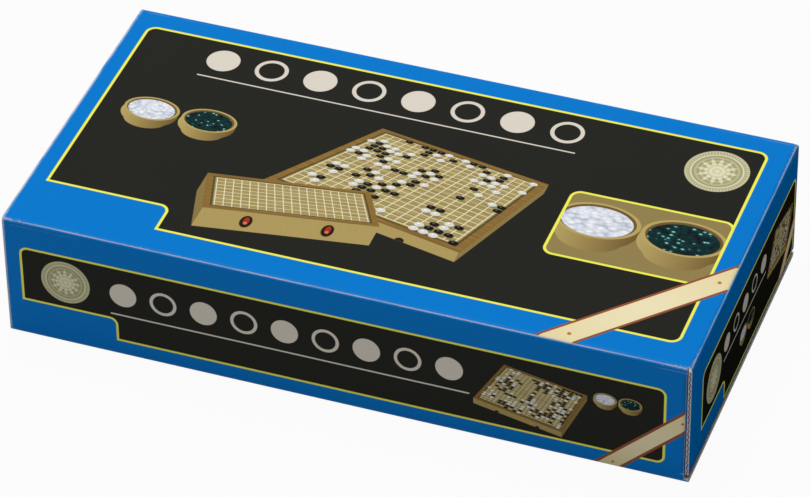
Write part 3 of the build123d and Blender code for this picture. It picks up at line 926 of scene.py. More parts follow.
class PrintedFace:
    """Builds the material of one printed face, ink on ink."""

    def __init__(self, layout: FaceLayout, effects: Effects) -> None:
        """Starts with the plain ground.

        Args:
            layout: what is printed where.
            effects: the shared groups.
        """
        self.layout = layout
        self.effects = effects
        self.material, self.tree, self.shader = new_material("print_" + layout.name)
        coordinates = self.tree.nodes.new("ShaderNodeUVMap")
        coordinates.uv_map = "Print"
        self.x, self.y, _ = split_vector(self.tree, coordinates.outputs[0], PER_METRE)
        self.colour: object = PrintInk.GROUND

    def lay(self, colour: object, mask: Term) -> None:
        """Prints one ink over what is there."""
        self.colour = blend_colours(self.tree, self.colour, colour, mask)

    def rectangle(self, box: tuple[float, float, float, float], corner: float) -> Term:
        """Distance to a rounded rectangle.

        Args:
            box: left, right, top and bottom.
            corner: its corner radius.

        Returns:
            The distance, negative inside.
        """
        left, right, top, bottom = box
        node = self.effects.rounded.place(
            self.tree,
            X=self.x,
            Y=self.y,
            Centre_X=(left + right) / 2,
            Centre_Y=(top + bottom) / 2,
            Half_Width=(right - left) / 2,
            Half_Height=(bottom - top) / 2,
            Corner=corner,
        )
        return Term(self.tree, node.outputs[0])

    def polygon(self, points: list[Point]) -> Term:
        """Distance to a convex polygon.

        Args:
            points: its corners in order.

        Returns:
            The distance, negative inside.
        """
        middle = (sum(p[0] for p in points) / len(points), sum(p[1] for p in points) / len(points))
        distance = None
        for start, end in zip(points, points[1:] + points[:1]):
            length = math.dist(start, end)
            normal = ((end[1] - start[1]) / length, (start[0] - end[0]) / length)
            offset = normal[0] * start[0] + normal[1] * start[1]
            side = 1.0 if normal[0] * middle[0] + normal[1] * middle[1] < offset else -1.0
            here = self.x * (normal[0] * side) + self.y * (normal[1] * side) - offset * side
            distance = here if distance is None else distance.most(here)
        return distance

    def disc(self, x: float, y: float, radius: float, squash: float = 1.0) -> Term:
        """Distance to a disc, or to an upright one seen from above if squash is under 1."""
        dx, dy = self.x - x, (self.y - y) / squash
        return hypot(dx, dy) - radius

    def draw_panel(self) -> None:
        """The dark panel with its keyline, stepped round the bare place at its corner."""
        layout = self.layout
        edge = self.rectangle(layout.panel, layout.corner)
        if layout.notch:
            edge = edge.most(self.rectangle(layout.notch, layout.corner) * -1.0)
        self.lay(PrintInk.PANEL, edge.within())
        self.lay(PrintInk.KEYLINE, (abs(edge) - layout.keyline / 2).within())

    def draw_title(self) -> None:
        """A row of plain stones, full and open in turn, over a thin rule."""
        layout = self.layout
        if layout.title:
            left, right, top, bottom = layout.title
            radius = (bottom - top) / 2
            pitch = radius * 2.9
            count = max(2, round((right - left - 2 * radius) / pitch) + 1)
            pitch = (right - left - 2 * radius) / (count - 1)
            place = (self.x - left - radius) / pitch
            nearest = place.math("ROUND").most(0.0).least(float(count - 1))
            dx, dy = (place - nearest) * pitch, self.y - (top + bottom) / 2
            reach = hypot(dx, dy)
            odd = (nearest * 0.5).math("FRACT").above(0.25)
            ring = (abs(reach - radius * 0.88) - radius * 0.12).within()
            full = (reach - radius).within()
            self.lay(PrintInk.IVORY, full * (1.0 - odd) + ring * odd)
        if layout.rule:
            left, right, y = layout.rule
            self.lay(PrintInk.IVORY, self.rectangle((left, right, y - 0.4, y + 0.4), 0.2).within())

    def draw_seal(self) -> None:
        """The round metallic seal, struck with a plain rosette."""
        x, y, radius = self.layout.seal
        here = {"X": self.x, "Y": self.y, "Centre_X": x, "Centre_Y": y}
        node = self.effects.rosette.place(self.tree, Radius=radius, **here)
        relief = node.outputs["Relief"]
        metal = blend_colours(self.tree, PrintInk.SEAL_DARK, PrintInk.SEAL_LIGHT, relief)
        self.lay(metal, Term(self.tree, node.outputs["Mask"]))

    def draw_picture(self, picture: Picture) -> None:
        """A board, the two sides of it that show, and the catches of a folded one.

        Args:
            picture: where and how it is drawn.
        """
        front = ((0, 1), (1, 1))
        flank = ((1, 1), (1, 0)) if picture.turn > 0 else ((0, 1), (0, 0))
        for edge, tone in ((front, 0.8), (flank, 0.3)):
            wall = self.polygon(picture.wall(*edge))
            place = combine(self.tree, self.x * 0.12, self.y * 1.4)
            streaks = texture(self.tree, "Noise", noise_dimensions="2D", Vector=place)
            shade = Term(self.tree, streaks.outputs[0]) * 0.5 + (tone - 0.25)
            wood = blend_colours(self.tree, PrintInk.WOOD_DARK, PrintInk.WOOD_LIGHT, shade)
            self.lay(wood, wall.within())
        for u in (0.27, 0.73):
            size = picture.side * 0.015
            if picture.folded:
                x, y = picture.spot(u, 1, picture.thickness * 0.5)
                self.lay(PrintInk.SHADOW, self.disc(x, y, size * 2.4, 1.5).within())
                self.lay(PrintInk.LATCH, self.disc(x, y - size * 0.5, size * 1.1, 2.0).within())
                self.lay(PrintInk.LATCH_LIGHT, self.disc(x, y + size * 0.9, size * 0.8).within())
            else:
                x, y = picture.spot(u, 1, picture.thickness)
                wall = self.polygon(picture.wall((0, 1), (1, 1)))
                self.lay(PrintInk.SHADOW, self.disc(x, y, size * 1.6).within() * wall.within())
        view = {f"View_{number}": value for number, value in enumerate(picture.view())}
        node = self.effects.board_picture.place(
            self.tree,
            X=self.x,
            Y=self.y,
            Seed=picture.seed,
            Aspect=picture.aspect,
            Rows=18.0 * picture.aspect,
            Bare=1.0 if picture.folded else 0.0,
            **view,
        )
        self.lay(node.outputs["Colour"], Term(self.tree, node.outputs["Mask"]))

    def draw_bowls(self, bowls: Bowls, within: Term | None = None) -> None:
        """Two turned bowls of stones, the white ones and the dark ones.

        Args:
            bowls: where and how large.
            within: a mask that the drawing stays inside.
        """
        squash, depth = 0.62, 0.62
        clip = within if within is not None else 1.0
        white = (PrintInk.WHITE_STONE, PrintInk.WHITE_SHADE)
        dark = (PrintInk.DARK_STONE, PrintInk.DARK_SHADE)
        for number, (light, shade) in enumerate((white, dark)):
            x, y = bowls.centre[0] + number * bowls.spacing, bowls.centre[1]
            radius = bowls.radius
            foot = self.disc(x, y + radius * depth, radius * 0.78, squash)
            body = self.disc(x, y + radius * 0.25, radius * 1.02, squash * 1.15)
            shading = (self.x - (x - radius)) / (2 * radius)
            wood = blend_colours(self.tree, PrintInk.WOOD_LIGHT, PrintInk.WOOD_DARK, shading)
            self.lay(wood, foot.least(body).within() * clip)
            self.lay(PrintInk.WOOD_LIGHT, self.disc(x, y, radius, squash).within() * clip)
            self.lay(PrintInk.WOOD_DARK, self.disc(x, y, radius * 0.9, squash).within() * clip)
            own = {"Stone": bowls.stone, "Seed": number * 3.7}
            heap = self.effects.heap.place(self.tree, X=self.x, Y=self.y, **own)
            body_tone = Term(self.tree, heap.outputs["Body"])
            stones = blend_colours(self.tree, shade, light, body_tone)
            if number == 1:
                glint = heap.outputs["Glint"]
                stones = blend_colours(self.tree, stones, PrintInk.DARK_GLINT, glint)
            self.lay(stones, self.disc(x, y + radius * 0.04, radius * 0.84, squash).within() * clip)

    def draw_ribbon(self) -> None:
        """The diagonal ribbon with its brown edges, left bare between two dots."""
        start_x, start_y, end_x, end_y, width = self.layout.ribbon
        length = math.dist((start_x, start_y), (end_x, end_y))
        along = ((end_x - start_x) / length, (end_y - start_y) / length)
        dx, dy = self.x - start_x, self.y - start_y
        across = abs(dx * along[1] - dy * along[0])
        run = dx * along[0] + dy * along[1]
        self.lay(PrintInk.RIBBON_EDGE, (across - width / 2).within())
        sheen = (run * (math.pi / length)).math("SINE") * 0.5
        paper = blend_colours(self.tree, PrintInk.RIBBON, ink(250, 240, 206), sheen)
        self.lay(paper, (across - width / 2 + 1.3).within())
        for share in (0.09, 0.91):
            dot = hypot(across, run - share * length) - width * 0.07
            self.lay(PrintInk.DOT, dot.within())

    def build(self) -> Material:
        """Prints everything and finishes the board.

        Returns:
            The face's material.
        """
        layout = self.layout
        if layout.panel:
            self.draw_panel()
        self.draw_title()
        for picture in layout.pictures:
            self.draw_picture(picture)
        if layout.window:
            edge = self.rectangle(layout.window, layout.corner)
            self.lay(PrintInk.TABLE, edge.within())
            for bowls in layout.bowls[:1]:
                self.draw_bowls(bowls, edge.within())
            self.lay(PrintInk.KEYLINE, (abs(edge) - layout.keyline / 2).within())
        for bowls in layout.bowls[1 if layout.window else 0 :]:
            self.draw_bowls(bowls)
        if layout.ribbon:
            self.draw_ribbon()
        if layout.seal:
            self.draw_seal()
        size = {"Width": layout.width, "Height": layout.height, "Seed": len(layout.name)}
        wear_and_highlight = self.effects.wear_and_edge_highlight.place(self.tree, X=self.x, Y=self.y, **size)
        # A painted highlight along the folds, then the scuffed liner where the board is rubbed.
        self.lay(PrintInk.PAINTED_EDGE_HIGHLIGHT, Term(self.tree, wear_and_highlight.outputs["Sheen"]))
        self.lay(PrintInk.BARE_LINER, Term(self.tree, wear_and_highlight.outputs["Scuff"]) * 0.7)
        join(self.tree, self.colour, self.shader.inputs["Base Color"])
        join(self.tree, wear_and_highlight.outputs["Roughness"], self.shader.inputs["Roughness"])
        self.shader.inputs["Specular IOR Level"].default_value = layout.gloss
        add_bump(self.tree, self.shader, wear_and_highlight.outputs["Height"], 0.00002, 0.5)
        return self.material


# ---- thin folded sheets ----------------------------------------------------------------------


class Face(Enum):
    """The faces of the carton, and the material index of each on every skin."""

    TOP = 0
    FRONT = 1
    END = 2
    BACK = 3
    BOTTOM = 4
    INSIDE = 5
    EDGE = 6
    PLAIN = 7


@dataclass
class Sheet:
    """A thin sheet of board, built as a grid of points on its printed side and then thickened."""

    name: str
    thickness: float
    carton: "Carton"
    printed: bool = True
    swaps: dict[Face, Face] = field(default_factory=dict)

    def build(
        self, grid: list[list[Vector]], outward: Vector, keep: set[tuple[int, int]] | None = None
    ) -> Piece:
        """Makes the closed mesh of the sheet.

        Args:
            grid: rows of points on the printed side.
            outward: the way the first cell's printed side faces.
            keep: the cells that exist, all of them if left out.

        Returns:
            The object, dressed with the carton's materials and the Print map.
        """
        along, down = grid[0][1] - grid[0][0], grid[1][0] - grid[0][0]
        if along.cross(down).dot(outward) < 0:
            columns = len(grid[0]) - 1
            grid = [list(reversed(row)) for row in grid]
            keep = keep and {(i, columns - 1 - j) for i, j in keep}
        mesh_maker = bmesh.new()
        layer = mesh_maker.loops.layers.uv.new("Print")
        rows = [[mesh_maker.verts.new(point) for point in row] for row in grid]
        outer = []
        for i in range(len(rows) - 1):
            for j in range(len(rows[0]) - 1):
                if keep is None or (i, j) in keep:
                    corners = (rows[i][j], rows[i][j + 1], rows[i + 1][j + 1], rows[i + 1][j])
                    outer.append(mesh_maker.faces.new(corners))
        loose = [v for v in mesh_maker.verts if not v.link_faces]
        bmesh.ops.delete(mesh_maker, geom=loose, context="VERTS")
        mesh_maker.normal_update()
        self._thicken(mesh_maker, outer)
        for face in outer:
            self._print(face, layer)
        for face in mesh_maker.faces:
            face.smooth = True
        for edge in mesh_maker.edges:
            kinds = {face.material_index for face in edge.link_faces}
            edge.smooth = Face.EDGE.value not in kinds
        mesh = bpy.data.meshes.new(self.name)
        mesh_maker.to_mesh(mesh)
        mesh_maker.free()
        piece = put(self.name, mesh)
        for material in self.carton.materials:
            mesh.materials.append(material)
        return piece

    def _thicken(self, mesh_maker: bmesh.types.BMesh, outer: list[bmesh.types.BMFace]) -> None:
        """Adds the unprinted side and the cut edges, inwards from the printed side."""
        inner_of = {}
        for vert in list(mesh_maker.verts):
            stretch = sum(1 / max(0.5, vert.normal.dot(face.normal)) for face in vert.link_faces)
            depth = self.thickness * stretch / len(vert.link_faces)
            inner_of[vert] = mesh_maker.verts.new(vert.co - vert.normal * depth)
        edges = [edge for edge in mesh_maker.edges if len(edge.link_faces) == 1]
        for face in outer:
            back = mesh_maker.faces.new([inner_of[vert] for vert in reversed(face.verts)])
            back.material_index = Face.INSIDE.value
        for edge in edges:
            loop = edge.link_loops[0]
            first, second = loop.vert, loop.link_loop_next.vert
            rim = mesh_maker.faces.new([second, first, inner_of[first], inner_of[second]])
            rim.material_index = Face.EDGE.value

    def _print(self, face: bmesh.types.BMFace, layer: bmesh.types.BMLayerItem) -> None:
        """Gives one cell of the printed side its face's material and its place on it."""
        if not self.printed:
            face.material_index = Face.INSIDE.value
            return
        side = self.carton.face_of(face.normal)
        face.material_index = self.swaps.get(side, side).value
        for loop in face.loops:
            loop[layer].uv = self.carton.place_on(side, loop.vert.co)


@dataclass
class Carton:
    """The tuck-end carton: a sleeve, an end closed by a panel with its tuck, and dust flaps."""

    low: Vector
    high: Vector
    materials: list[Material] = field(default_factory=list)
    board: float = 1.5 * MM
    fold_radius: float = 2.2 * MM
    cell: float = 6.0 * MM
    fold_steps: int = 10
    sag: float = 0.28 * MM
    flap_gap: float = 0.3 * MM
    fold_slit: float = 0.05 * MM
    flap_rows: int = 11
    flap_tapers: tuple[float, float] = (12.0, 32.0)
    flap_corner: float = 4.0 * MM
    lower_radius: float = 1.9 * MM
    tuck_corner: float = 6.0 * MM
    tuck_inset: float = 3.0 * MM
    flute_pitch: float = 3.3 * MM
    liner: float = 0.3 * MM

    @property
    def flap_face(self) -> float:
        """x of the dust flaps' outer faces."""
        return self.high.x - self.board - self.flap_gap

    def face_of(self, normal: Vector) -> Face:
        """The printed face that a cell belongs to, by the way it faces."""
        sides = {
            Face.TOP: normal.z,
            Face.BOTTOM: -normal.z,
            Face.FRONT: -normal.y,
            Face.BACK: normal.y,
            Face.END: normal.x,
        }
        return max(sides, key=sides.get)

    def place_on(self, side: Face, point: Vector) -> Point:
        """A point's place on a face, in metres from the face's left and top edges."""
        return {
            Face.TOP: (point.x - self.low.x, self.high.y - point.y),
            Face.BOTTOM: (point.x - self.low.x, point.y - self.low.y),
            Face.FRONT: (point.x - self.low.x, self.high.z - point.z),
            Face.BACK: (self.high.x - point.x, self.high.z - point.z),
            Face.END: (point.y - self.low.y, self.high.z - point.z),
        }[side]

    def layouts(self) -> list[FaceLayout]:
        """What is printed on each face, in the order of the Face enum."""
        length, width, height = ((self.high - self.low) * PER_METRE)
        top = FaceLayout(
            "top",
            length,
            width,
            panel=(9.0, 314.2, 12.9, 153.8),
            notch=(-20.0, 69.0, 137.0, 190.0),
            title=(44.0, 230.0, 19.0, 35.0),
            rule=(44.0, 230.0, 40.6),
            seal=(295.4, 32.5, 15.0),
            ribbon=(261.5, width, length, 102.5, 13.7),
            window=(238.0, 314.2, 66.7, 113.0),
            pictures=[
                Picture((168.0, 84.0), 98.0, 18.0, 7.0, 1.0),
                Picture((119.0, 114.0), 80.0, -14.0, 14.0, 2.0, folded=True),
            ],
            bowls=[Bowls((255.0, 84.0), 20.0, 40.5, 3.4), Bowls((34.0, 72.0), 13.5, 28.5, 2.3)],
        )
        front = FaceLayout(
            "front",
            length,
            height,
            panel=(8.0, 313.5, 15.2, 57.3),
            notch=(-20.0, 53.8, 45.2, 80.0),
            title=(51.0, 220.0, 24.0, 37.0),
            rule=(51.0, 223.0, 42.3),
            seal=(29.4, 30.2, 11.9),
            ribbon=(286.7, height, length, 29.0, 9.4),
            pictures=[Picture((252.0, 36.0), 42.0, 18.0, 3.0, 4.0)],
            bowls=[Bowls((286.0, 28.0), 5.4, 11.6, 1.3)],
            corner=3.6,
            keyline=1.1,
        )
        end = FaceLayout(
            "end",
            width,
            height,
            panel=(19.0, 166.0, 18.0, 61.0),
            notch=(-20.0, 55.0, 50.0, 80.0),
            title=(52.0, 119.0, 25.0, 34.0),
            rule=(52.0, 119.0, 37.5),
            seal=(37.0, 35.0, 11.5),
            ribbon=(141.0, height, width, 43.5, 8.0),
            pictures=[Picture((143.0, 36.0), 32.0, 18.0, 2.6, 9.0)],
            bowls=[Bowls((84.0, 46.0), 5.6, 12.4, 1.3)],
            corner=3.6,
            keyline=1.1,
            gloss=0.0,
        )
        back = FaceLayout(
            "back",
            length,
            height,
            panel=(11.5, 317.0, 15.2, 57.3),
            title=(70.0, 255.0, 24.0, 37.0),
            rule=(70.0, 255.0, 42.3),
            seal=(295.0, 30.2, 11.9),
            corner=3.6,
            keyline=1.1,
        )
        edge = 15.0
        panel = (edge, length - edge, edge, width - edge)
        bottom = FaceLayout("bottom", length, width, panel=panel)
        return [top, front, end, back, bottom]

    def plain_layout(self) -> FaceLayout:
        """The flaps: the ground colour alone."""
        return FaceLayout("flaps", *((self.high - self.low) * PER_METRE).xy)

    def paint(self, effects: Effects) -> None:
        """Builds the faces' materials in the order of the Face enum."""
        self.materials = [PrintedFace(layout, effects).build() for layout in self.layouts()]
        inside = BareBoardFinish("board_inside", ink(196, 188, 172), ink(166, 156, 138))
        edge = BareBoardFinish("board_edge", ink(226, 222, 232), ink(176, 168, 178))
        self.materials += [inside.build(), edge.build()]
        self.materials.append(PrintedFace(self.plain_layout(), effects).build())

    def steps(self, start: float, end: float, size: float | None = None) -> list[float]:
        """Evenly spaced values from start to end, no further apart than the cell size."""
        count = max(1, math.ceil(abs(end - start) / (size or self.cell)))
        return [start + (end - start) * number / count for number in range(count + 1)]

    def section(self) -> list[tuple[float, float]]:
        """Points round the sleeve's outside as (y, z), from the back corner round by the top."""
        radius = self.fold_radius
        centres = [
            (self.high.y - radius, self.high.z - radius, 0),
            (self.low.y + radius, self.high.z - radius, 90),
            (self.low.y + radius, self.low.z + radius, 180),
            (self.high.y - radius, self.low.z + radius, 270),
        ]
        points: list[tuple[float, float]] = []
        for number, (y, z, angle) in enumerate(centres):
            arc = []
            for step in range(self.fold_steps + 1):
                turn = math.radians(angle + 90 * step / self.fold_steps)
                arc.append((y + radius * math.cos(turn), z + radius * math.sin(turn)))
            after_y, after_z, after_angle = centres[(number + 1) % 4]
            turn = math.radians(after_angle)
            next_start = (after_y + radius * math.cos(turn), after_z + radius * math.sin(turn))
            walls_y = self.steps(arc[-1][0], next_start[0])
            walls_z = self.steps(arc[-1][1], next_start[1])
            count = max(len(walls_y), len(walls_z))
            shares = {index / (count - 1) for index in range(1, count - 1)}
            if len(walls_z) > len(walls_y):
                rise = next_start[1] - arc[-1][1]
                shares |= {(height - arc[-1][1]) / rise for height in self.fold_ends}
            for share in sorted(shares):
                arc.append(
                    (
                        arc[self.fold_steps][0] + (next_start[0] - arc[self.fold_steps][0]) * share,
                        arc[self.fold_steps][1] + (next_start[1] - arc[self.fold_steps][1]) * share,
                    )
                )
            points += arc
        return points

    @property
    def fold_ends(self) -> tuple[float, float]:
        """z of the lower and upper end of the dust flaps' upright folds."""
        low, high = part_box("right_front_dust_flap")
        return self.flap_heights(low.z, high.z, self.fold_radius, high.y - low.y)

    def relax(self, point: Vector) -> Vector:
        """A point of the sleeve, drawn in a little where the board is slack between its folds."""
        middle = (self.low + self.high) / 2
        half = (self.high - self.low) / 2
        share = [min(1.0, abs(point[axis] - middle[axis]) / half[axis]) for axis in range(3)]
        slack = [max(0.0, 1 - value**2) for value in share]
        ripple = 0.75 + 0.25 * noise.noise(point * 24.0)
        moved = point.copy()
        for axis, others in ((1, (0, 2)), (2, (0, 1))):
            if share[axis] > 0.98:
                depth = self.sag * ripple * slack[others[0]] * slack[others[1]]
                moved[axis] -= math.copysign(depth, point[axis] - middle[axis])
        return moved

    def sleeve(self) -> Piece:
        """The four walls, folded from one sheet and cut back at the closed end's folds."""
        radius = self.fold_radius
        wall_end = self.flap_face - radius
        top_end = self.high.x - radius
        xs = self.steps(self.low.x, wall_end) + [top_end, self.high.x]
        section = self.section()
        grid = [[self.relax(Vector((x, y, z))) for x in xs] for y, z in section + section[:1]]
        columns = len(xs) - 1
        foot, top = self.fold_ends
        keep = set()
        for i, (y, z) in enumerate(section):
            following = section[(i + 1) % len(section)]
            middle_z = (z + following[1]) / 2
            beside_fold = foot < middle_z < top
            on_floor = middle_z < self.low.z + radius
            kept = columns - 2 if beside_fold else columns - 1
            kept = columns if on_floor else kept
            keep |= {(i, j) for j in range(kept)}
        piece = Sheet("carton_sleeve", self.board, self).build(grid, Vector((0, 1, 0)), keep)
        merge_seam(piece)
        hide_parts(*(f"carton_{side}_panel" for side in ("top", "bottom", "front", "back")))
        return self.finish(piece, "carton")

    def finish(self, piece: Piece, body: str) -> Piece:
        """Hangs a carton piece on its body."""
        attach(piece, body)
        LOG.info("%s: %d faces on %s", piece.name, len(piece.data.polygons), body)
        return piece

    def bend(
        self,
        name: str,
        centre: Point,
        radius: float,
        plane: str,
        span: tuple[float, float],
        bodies: tuple[str, str],
        swaps: dict[Face, Face] | None = None,
        rounding: float = 0.0,
    ) -> Piece:
        """A quarter-round fold strip where two bodies meet; it is hung on neither.

        Args:
            name: the piece's name.
            centre: the arc's centre in the plane of the fold.
            radius: its outside radius.
            plane: "xz" for a fold along Y, "xy+" or "xy-" for an upright one at the front or back,
                "tuck" for the lower fold of the closure.
            span: where the fold starts and ends along its own axis.
            bodies: the parent body, then the child body.
            swaps: printed faces that this fold shows otherwise.
            rounding: how much shorter each end is where the fold starts.

        Returns:
            The piece.
        """
        starts = {"xz": (0, 1), "xy-": (0, -1), "xy+": (0, 1), "tuck": (1, 0)}
        ends = {"xz": (1, 0), "xy-": (1, 0), "xy+": (1, 0), "tuck": (0, -1)}
        grid = []
        for step in range(self.fold_steps + 1):
            turn = math.radians(90 * step / self.fold_steps)
            drawn_in = rounding * (1 - math.sin(turn))
            count = len(self.steps(*span))
            along = self.spread_values(span[0] + drawn_in, span[1] - drawn_in, count)
            first, second = starts[plane], ends[plane]
            a = centre[0] + radius * (first[0] * math.cos(turn) + second[0] * math.sin(turn))
            b = centre[1] + radius * (first[1] * math.cos(turn) + second[1] * math.sin(turn))
            if plane in ("xz", "tuck"):
                grid.append([Vector((a, value, b)) for value in along])
            else:
                grid.append([Vector((a, b, value)) for value in along])
        upright = plane in ("xy-", "xy+")
        first = starts[plane]
        outward = Vector((first[0], first[1], 0)) if upright else Vector((first[0], 0, first[1]))
        piece = Sheet(name, self.board, self, swaps=swaps or {}).build(grid, outward)
        start = [centre[0] + radius * starts[plane][0], centre[1] + radius * starts[plane][1]]
        end = [centre[0] + radius * ends[plane][0], centre[1] + radius * ends[plane][1]]
        as_point = (lambda p: (p[0], p[1], 0.0)) if upright else (lambda p: (p[0], 0.0, p[1]))
        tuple(as_point(start))
        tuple(as_point(end))
        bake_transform(piece)
        LOG.info("%s bends between %s and %s", name, *bodies)
        return piece

    def closure(self) -> list[Piece]:
        """The end panel, its rounded fold from the top, its two liners and its flutes; the lower
        fold comes with the tuck.
        """
        low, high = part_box("right_closure_panel")
        radius, lower = self.fold_radius, self.lower_radius
        half = (low.y, high.y)
        pieces = [
            self.bend(
                "closure_fold",
                (self.high.x - radius, self.high.z - radius),
                radius,
                "xz",
                half,
                ("carton", "closure"),
                rounding=radius * 0.8,
            )
        ]
        zs = self.steps(self.high.z - radius, low.z + lower)
        grid = [[Vector((high.x, y, z)) for y in self.steps(*half)] for z in zs]
        outward = Vector((1, 0, 0))
        liner = Sheet("right_closure_outer_liner", self.liner, self).build(grid, outward)
        inner_x = high.x - self.board + self.liner
        grid = [[Vector((inner_x, y, z)) for y in self.steps(*half)] for z in zs]
        lining = Sheet("right_closure_inner_liner", self.liner, self, printed=False)
        lining = lining.build(grid, outward)
        flutes = self.flutes(low, high, zs[0], zs[-1])
        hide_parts("right_closure_panel")
        pieces += [self.finish(piece, "closure") for piece in (liner, lining, flutes)]
        return pieces

    def flutes(self, low: Vector, high: Vector, top: float, foot: float) -> Piece:
        """The wavy sheet between the closure's two liners, open at its cut sides."""
        sizes = dict.fromkeys(("Pitch", "Depth", "Sheet", "Height", "Width"), "Float")
        growth = Growth("Flutes", **sizes, Steps="Int", Board="Material")
        tree, start = growth.tree, growth.start.outputs
        sheet = growth.node("GeometryNodeMeshCube")
        place = growth.node("GeometryNodeInputPosition")
        z = split_vector(tree, place.outputs[0], 1.0)[2]
        phase = z / Term(tree, start["Pitch"]) * (2 * math.pi)
        swing = phase.math("SINE") * Term(tree, start["Depth"])
        waved = growth.node("GeometryNodeSetPosition")
        size = combine(tree, *(Term(tree, start[label]) for label in ("Sheet", "Width", "Height")))
        growth.wire(
            (size, sheet.inputs["Size"]),
            (start["Steps"], sheet.inputs["Vertices Z"]),
            (sheet.outputs["Mesh"], waved.inputs["Geometry"]),
            (combine(tree, swing, 0.0, 0.0), waved.inputs["Offset"]),
        )
        growth.end_with(waved.outputs[0], start["Board"])
        thickness = self.liner * 0.8
        steps_per_wave = 10
        values = {
            "Pitch": self.flute_pitch,
            "Depth": (self.board - 2 * self.liner - thickness) / 2,
            "Sheet": thickness,
            "Height": top - foot,
            "Width": high.y - low.y,
            "Steps": round((top - foot) / self.flute_pitch) * steps_per_wave + 1,
            "Board": self.materials[Face.EDGE.value],
        }
        piece = grow("right_closure_flutes", tree, values)
        middle = Vector(((low.x + high.x) / 2, (low.y + high.y) / 2, (top + foot) / 2))
        piece.data.transform(Matrix.Translation(middle))
        return piece

    def dust_flap(self, node: str, body: str, front: bool) -> list[Piece]:
        """A dust flap of the closed end and its upright fold, from the outline of its CAD node."""
        low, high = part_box(node)
        radius = self.fold_radius
        side = 1.0 if front else -1.0
        edge_y = self.low.y if front else self.high.y
        reach = high.y - low.y
        rows = self.steps(radius, reach)
        grid = []
        for distance in rows:
            y = edge_y + side * distance
            foot, top = self.flap_heights(low.z, high.z, distance, reach)
            heights = self.spread_values(foot, top, self.flap_rows)
            grid.append([Vector((high.x, y, height)) for height in heights])
        swaps = {Face.END: Face.PLAIN}
        panel = Sheet(node + "_skin", self.board, self, swaps=swaps).build(grid, Vector((1, 0, 0)))
        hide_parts(node)
        centre = (self.flap_face - radius, edge_y + side * radius)
        foot, top = self.fold_ends
        span = (foot + self.fold_slit, top - self.fold_slit)
        plane = "xy-" if front else "xy+"
        fold = self.bend(node + "_fold", centre, radius, plane, span, ("carton", body), swaps)
        return [self.finish(panel, body), fold]

    def flap_heights(
        self, foot: float, top: float, distance: float, reach: float
    ) -> tuple[float, float]:
        """Lower and upper edge of a dust flap at a distance from its fold, to its rounded tip."""
        corner = self.flap_corner
        tip = max(0.0, distance - (reach - corner))
        round_off = corner - math.sqrt(max(0.0, corner**2 - tip**2))
        low_taper, top_taper = (math.tan(math.radians(taper)) for taper in self.flap_tapers)
        return foot + distance * low_taper + round_off, top - distance * top_taper - round_off

    def tuck(self) -> list[Piece]:
        """The tuck flap under the case and the fold that joins it to the closure."""
        low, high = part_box("right_tuck_flap")
        closure_low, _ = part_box("right_closure_panel")
        radius, corner = self.lower_radius, self.tuck_corner
        root = self.high.x - radius
        rows = self.steps(root, low.x, 1.5 * MM)
        grid = []
        for x in rows:
            share = (high.x - x) / (high.x - low.x)
            tip = max(0.0, (low.x + corner) - x)
            round_off = corner - math.sqrt(max(0.0, corner**2 - tip**2))
            half = high.y - self.tuck_inset * max(0.0, share) - round_off
            grid.append([Vector((x, y, closure_low.z)) for y in self.steps(-half, half, 12 * MM)])
        width = min(len(row) for row in grid)
        grid = [self.spread(row[0], row[-1], width) for row in grid]
        swaps = {Face.BOTTOM: Face.PLAIN}
        panel = Sheet("right_tuck_flap_skin", self.board, self, swaps=swaps)
        panel = panel.build(grid, Vector((0, 0, -1)))
        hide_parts("right_tuck_flap")
        fold = self.bend(
            "tuck_fold_strip",
            (root, closure_low.z + radius),
            radius,
            "tuck",
            (-high.y, high.y),
            ("closure", "tuck"),
            swaps,
        )
        return [self.finish(panel, "tuck"), fold]

    @staticmethod
    def spread_values(first: float, last: float, count: int) -> list[float]:
        """Evenly spaced values from first to last."""
        return [first + (last - first) * number / (count - 1) for number in range(count)]

    @staticmethod
    def spread(first: Vector, last: Vector, count: int) -> list[Vector]:
        """Evenly spaced points from first to last."""
        return [first.lerp(last, number / (count - 1)) for number in range(count)]

    def dress_inner_sheets(self) -> None:
        """Bare board on the flaps that are folded inside the open end, and on the glue flap."""
        for name in (
            "carton_glue_flap",
            "left_closure_panel",
            "left_tuck_flap",
            "left_front_dust_flap",
            "left_back_dust_flap",
        ):
            dress_node(name, self.materials[Face.INSIDE.value])

    def build(self, effects: Effects) -> None:
        """Builds and dresses the whole carton."""
        self.paint(effects)
        self.sleeve()
        self.closure()
        self.tuck()
        self.dust_flap("right_front_dust_flap", "front_dust_flap", True)
        self.dust_flap("right_back_dust_flap", "back_dust_flap", False)
        self.dress_inner_sheets()


def merge_seam(piece: Piece) -> None:
    """Welds the two ends of a wrapped sheet, with every wall already thick."""
    welder = bmesh.new()
    welder.from_mesh(piece.data)
    bmesh.ops.remove_doubles(welder, verts=welder.verts, dist=1e-7)
    rims = [face for face in welder.faces if face.material_index == Face.EDGE.value]
    doubled = [face for face in rims if face_is_buried(face)]
    bmesh.ops.delete(welder, geom=doubled, context="FACES_ONLY")
    welder.to_mesh(piece.data)
    welder.free()


def face_is_buried(face: bmesh.types.BMFace) -> bool:
    """True for a cut edge that lies inside the board, where a sheet meets itself."""
    return any(len(edge.link_faces) > 2 for edge in face.edges)


